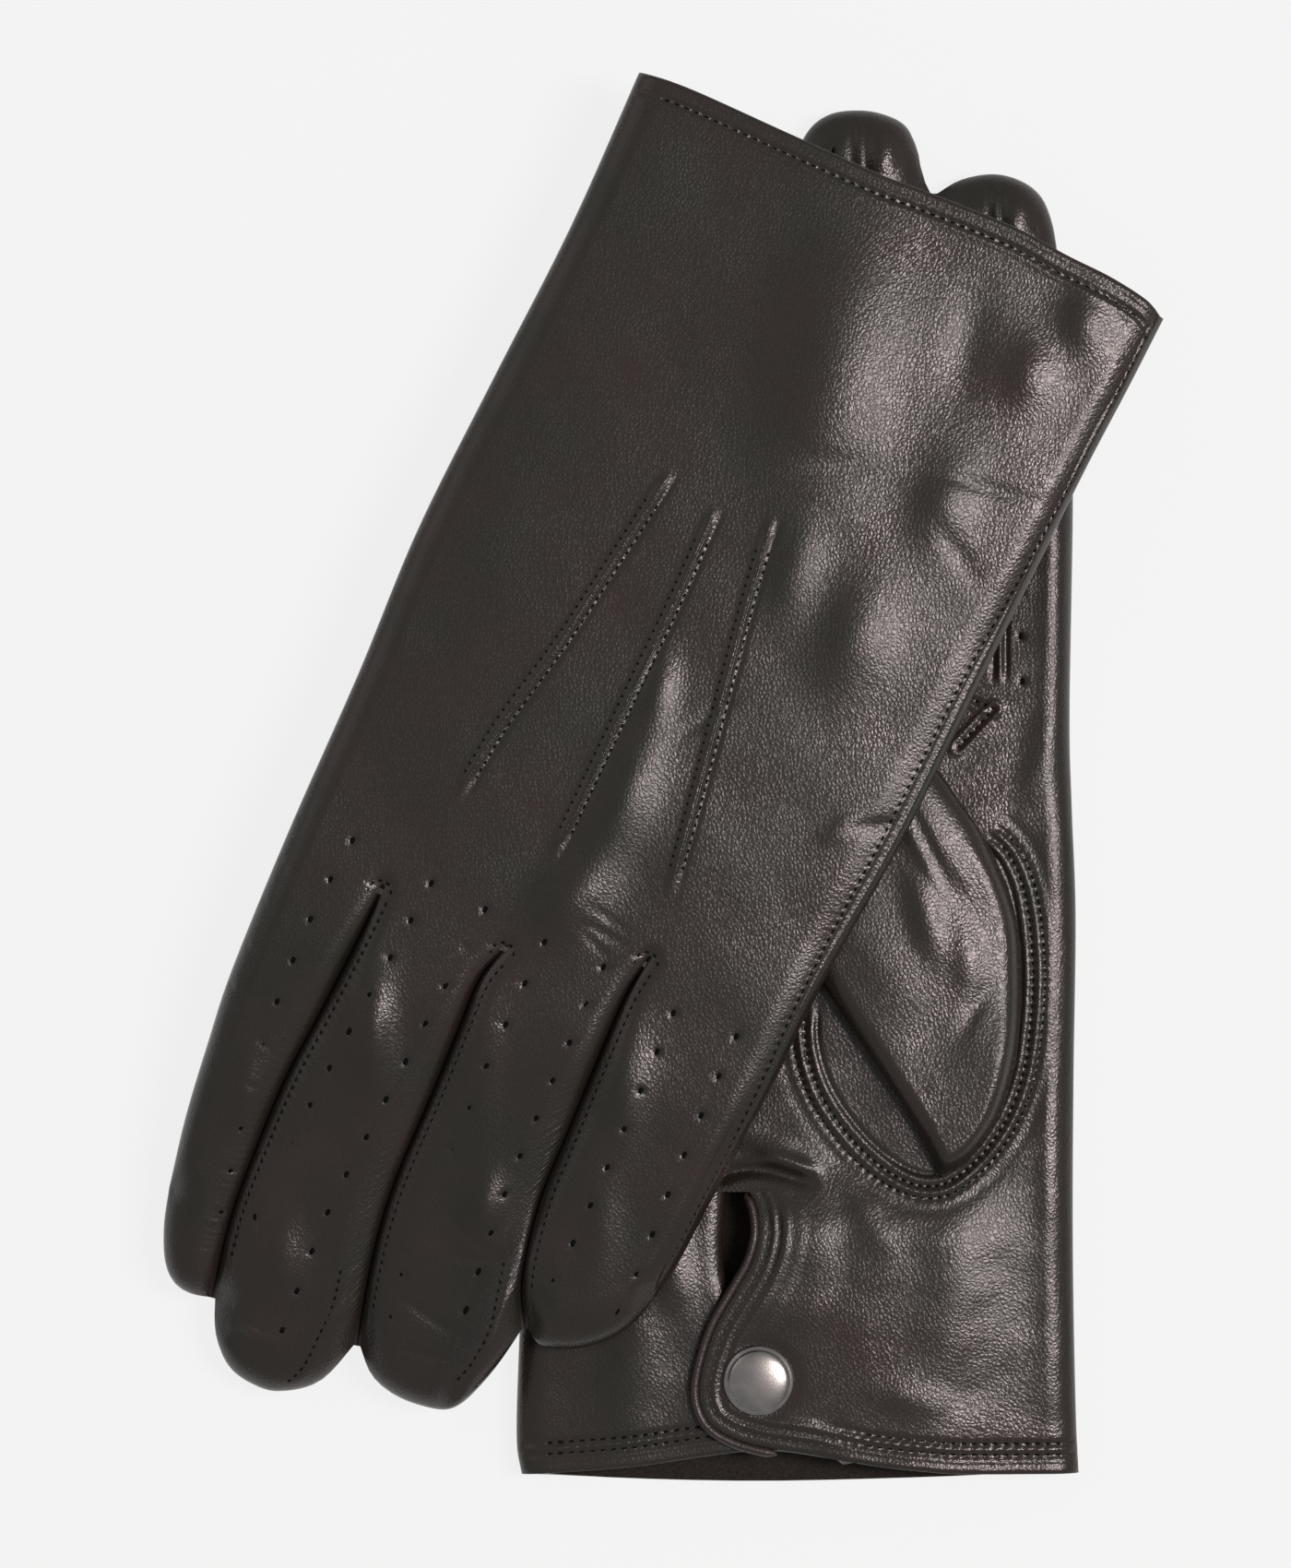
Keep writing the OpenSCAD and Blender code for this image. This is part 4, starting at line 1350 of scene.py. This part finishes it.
def leather(name, dark, light, rough):
    """Nappa: fine pebbled grain, its colour darker along the sunken borders between the pebbles, blotchy
    dye, and a satin finish that varies a little.
    """
    n = Nodes(name)
    pebbles = warped_pebbles(n, 1350.0)
    fine = n.noise(2600.0, 3.0, Roughness=0.6)["Fac"]
    broad = n.noise(52.0, 4.0, Roughness=0.5)["Fac"]
    n.bump(n.math("ADD", n.math("MULTIPLY", pebbles, 0.75), n.math("MULTIPLY", fine, 0.35)), 0.12, 0.00045)
    darker_pebble_borders = n.add("MixRGB", Fac=0.4)
    darker_pebble_borders.blend_type = "MULTIPLY"
    n.join(n.ramp(broad, [(0.34, dark), (0.68, light)]), darker_pebble_borders.inputs["Color1"])
    n.join(n.ramp(pebbles, [(0.0, grey(0.55)), (0.5, grey(1.0))]), darker_pebble_borders.inputs["Color2"])
    n.join(darker_pebble_borders.outputs[0], n.shader.inputs["Base Color"])
    wear = n.ramp(broad, [(0.3, grey(rough + 0.06)), (0.7, grey(rough - 0.05))])
    n.join(wear, n.shader.inputs["Roughness"])
    n.set(n.shader, Specular_IOR_Level=0.5)
    return n.material


def felted(name, scale, detail, stops, rough, shine, bump=None):
    """A material of two tones mixed by a fine noise, which may also roughen the surface."""
    n = Nodes(name)
    nap = n.noise(scale, detail)["Fac"]
    n.join(n.ramp(nap, stops), n.shader.inputs["Base Color"])
    if bump:
        n.bump(nap, *bump)
    n.set(n.shader, Roughness=rough, Specular_IOR_Level=shine)
    return n.material


def thread_material(name, dark, light, rough, shine):
    return felted(name, 3200.0, 2.0, [(0.3, grey(dark)), (0.7, grey(light))], rough, shine, (0.5, 0.0002))


def hole_shade_material():
    # Near-black plugs for the punched holes: painted shade where one looks into a hole.
    return felted("punched_hole", 2500.0, 2.0, [(0.2, grey(0.001)), (0.8, grey(0.005))], 0.95, 0.1)


def suede_material():
    """The unfinished inside of the leather: matte and felted."""
    stops = [(0.3, (0.014, 0.012, 0.010, 1)), (0.7, (0.032, 0.027, 0.023, 1))]
    return felted(SUEDE, 1800.0, 4.0, stops, 0.9, 0.15, (0.5, 0.0003))


def steel_material():
    """Blackened steel, matte and finely brushed, a little worn."""
    n = Nodes("gunmetal")
    haze = n.noise(500.0, 4.0)["Fac"]
    stops = [(0.3, (0.26, 0.248, 0.241, 1)), (0.7, (0.36, 0.344, 0.334, 1))]
    n.join(n.ramp(haze, stops), n.shader.inputs["Base Color"])
    n.join(n.ramp(haze, [(0.3, grey(0.3)), (0.7, grey(0.25))]), n.shader.inputs["Roughness"])
    n.bump(n.noise(4200.0, 2.0)["Fac"], 0.15, 0.0001)
    n.set(n.shader, Metallic=1.0)
    return n.material


# ---- Stage ----

def camera():
    data = bpy.data.cameras.new("camera")
    data.lens = SENSOR * (CAMERA_UP - SHEET_TOP) / FRAME_TALL
    data.sensor_width = SENSOR
    data.clip_end = 10.0
    obj = bpy.data.objects.new("camera", data)
    obj.location = Vector((*CAMERA_AT, CAMERA_UP)) * MM
    bpy.context.scene.collection.objects.link(obj)
    bpy.context.scene.camera = obj


def area_light(name, place, size, power, colour):
    data = bpy.data.lights.new(name, "AREA")
    data.shape = "RECTANGLE"
    data.size, data.size_y = size
    data.energy = power
    data.color = colour
    obj = bpy.data.objects.new(name, data)
    obj.location = place
    obj.rotation_euler = (-Vector(place)).to_track_quat("-Z", "Y").to_euler()
    bpy.context.scene.collection.objects.link(obj)


FLOOR_HALF = 3.0         # metres
FLOOR_Z = -0.0003        # metres; just under the gloves


def stage():
    corners = [(-FLOOR_HALF, -FLOOR_HALF, FLOOR_Z), (FLOOR_HALF, -FLOOR_HALF, FLOOR_Z),
               (FLOOR_HALF, FLOOR_HALF, FLOOR_Z), (-FLOOR_HALF, FLOOR_HALF, FLOOR_Z)]
    floor = plain_piece("floor", corners, [[0, 1, 2, 3]], floor_material())
    area_light("key", (0.57, 0.03, 1.07), (0.22, 0.50), 9.6, (1.0, 0.87, 0.855))
    area_light("fill", (-0.9, 0.5, 0.7), (0.8, 0.8), 0.8, (1.0, 0.96, 0.93))
    world = bpy.data.worlds.new("studio")
    world.use_nodes = True
    world.node_tree.nodes["Background"].inputs["Color"].default_value = grey(1.0)
    world.node_tree.nodes["Background"].inputs["Strength"].default_value = 0.385
    bpy.context.scene.world = world
    bpy.context.scene.view_settings.view_transform = "Standard"


def floor_material():
    """A pale paper sweep; part of its brightness is its own, so that it stays even."""
    n = Nodes("pale_floor")
    n.set(n.shader, Base_Color=grey(0.08), Roughness=0.9, Specular_IOR_Level=0.0,
          Emission_Color=grey(1.0), Emission_Strength=0.83)
    return n.material


# ---- The pair ----

def finish_gloves():
    steel, hole = steel_material(), hole_shade_material()
    suede_material()     # every sheet takes it by name for its inner face
    # A near-black, matte copy of the thread for every row but the flap's: its darkness is painted shade in
    # the stitch holes and grooves.
    sunk = thread_material("sunk_thread", 0.0015, 0.005, 0.8, 0.12)
    waxed = thread_material("waxed_thread", 0.02, 0.045, 0.38, 0.6)
    nappa = leather("nappa", (0.0125, 0.0127, 0.0075, 1), (0.0250, 0.0160, 0.0140, 1), 0.265)
    # A darker, duller copy of the nappa for the fingers' side walls and the quirks, deep in the gaps: its
    # extra darkness is painted shade.
    side = leather("side_nappa", (0.009, 0.006, 0.005, 1), (0.016, 0.010, 0.009, 1), 0.5)
    rolled = leather("binding_nappa", (0.020, 0.013, 0.012, 1), (0.032, 0.021, 0.019, 1), 0.34)
    for glove in place_gloves():
        glove.leather, glove.side_leather, glove.binding = nappa, side, rolled
        hand_back(glove)
        hand_palm(glove)
        little_turn_up(glove)
        for k in range(4):
            finger_sheet(glove, k, True)
            finger_sheet(glove, k, False)
            side_strips(glove, k)
        thumb(glove)
        vent_flap(glove)
        binding(glove)
        snap_cap(glove, steel)
        point_folds(glove)
        back_rows(glove).build(sunk)
        palm_rows(glove).build(sunk, waxed)
        perforations(glove, BACK_HOLES, back_height, "back", hole)
        perforations(glove, PALM_HOLES, palm_height, "palm", hole)
    dress_cad(steel, side)


def dress_cad(steel, side):
    """Materials for the CAD pieces that stay: the inner snap parts and the quirks."""
    for name, obj in frame["nodes"].items():
        if obj.hide_render:
            continue
        # The quirks take the same darker side nappa: painted shade.
        finish = steel if "snap" in name else side
        obj.data.materials.clear()
        obj.data.materials.append(finish)


stage()
camera()
finish_gloves()
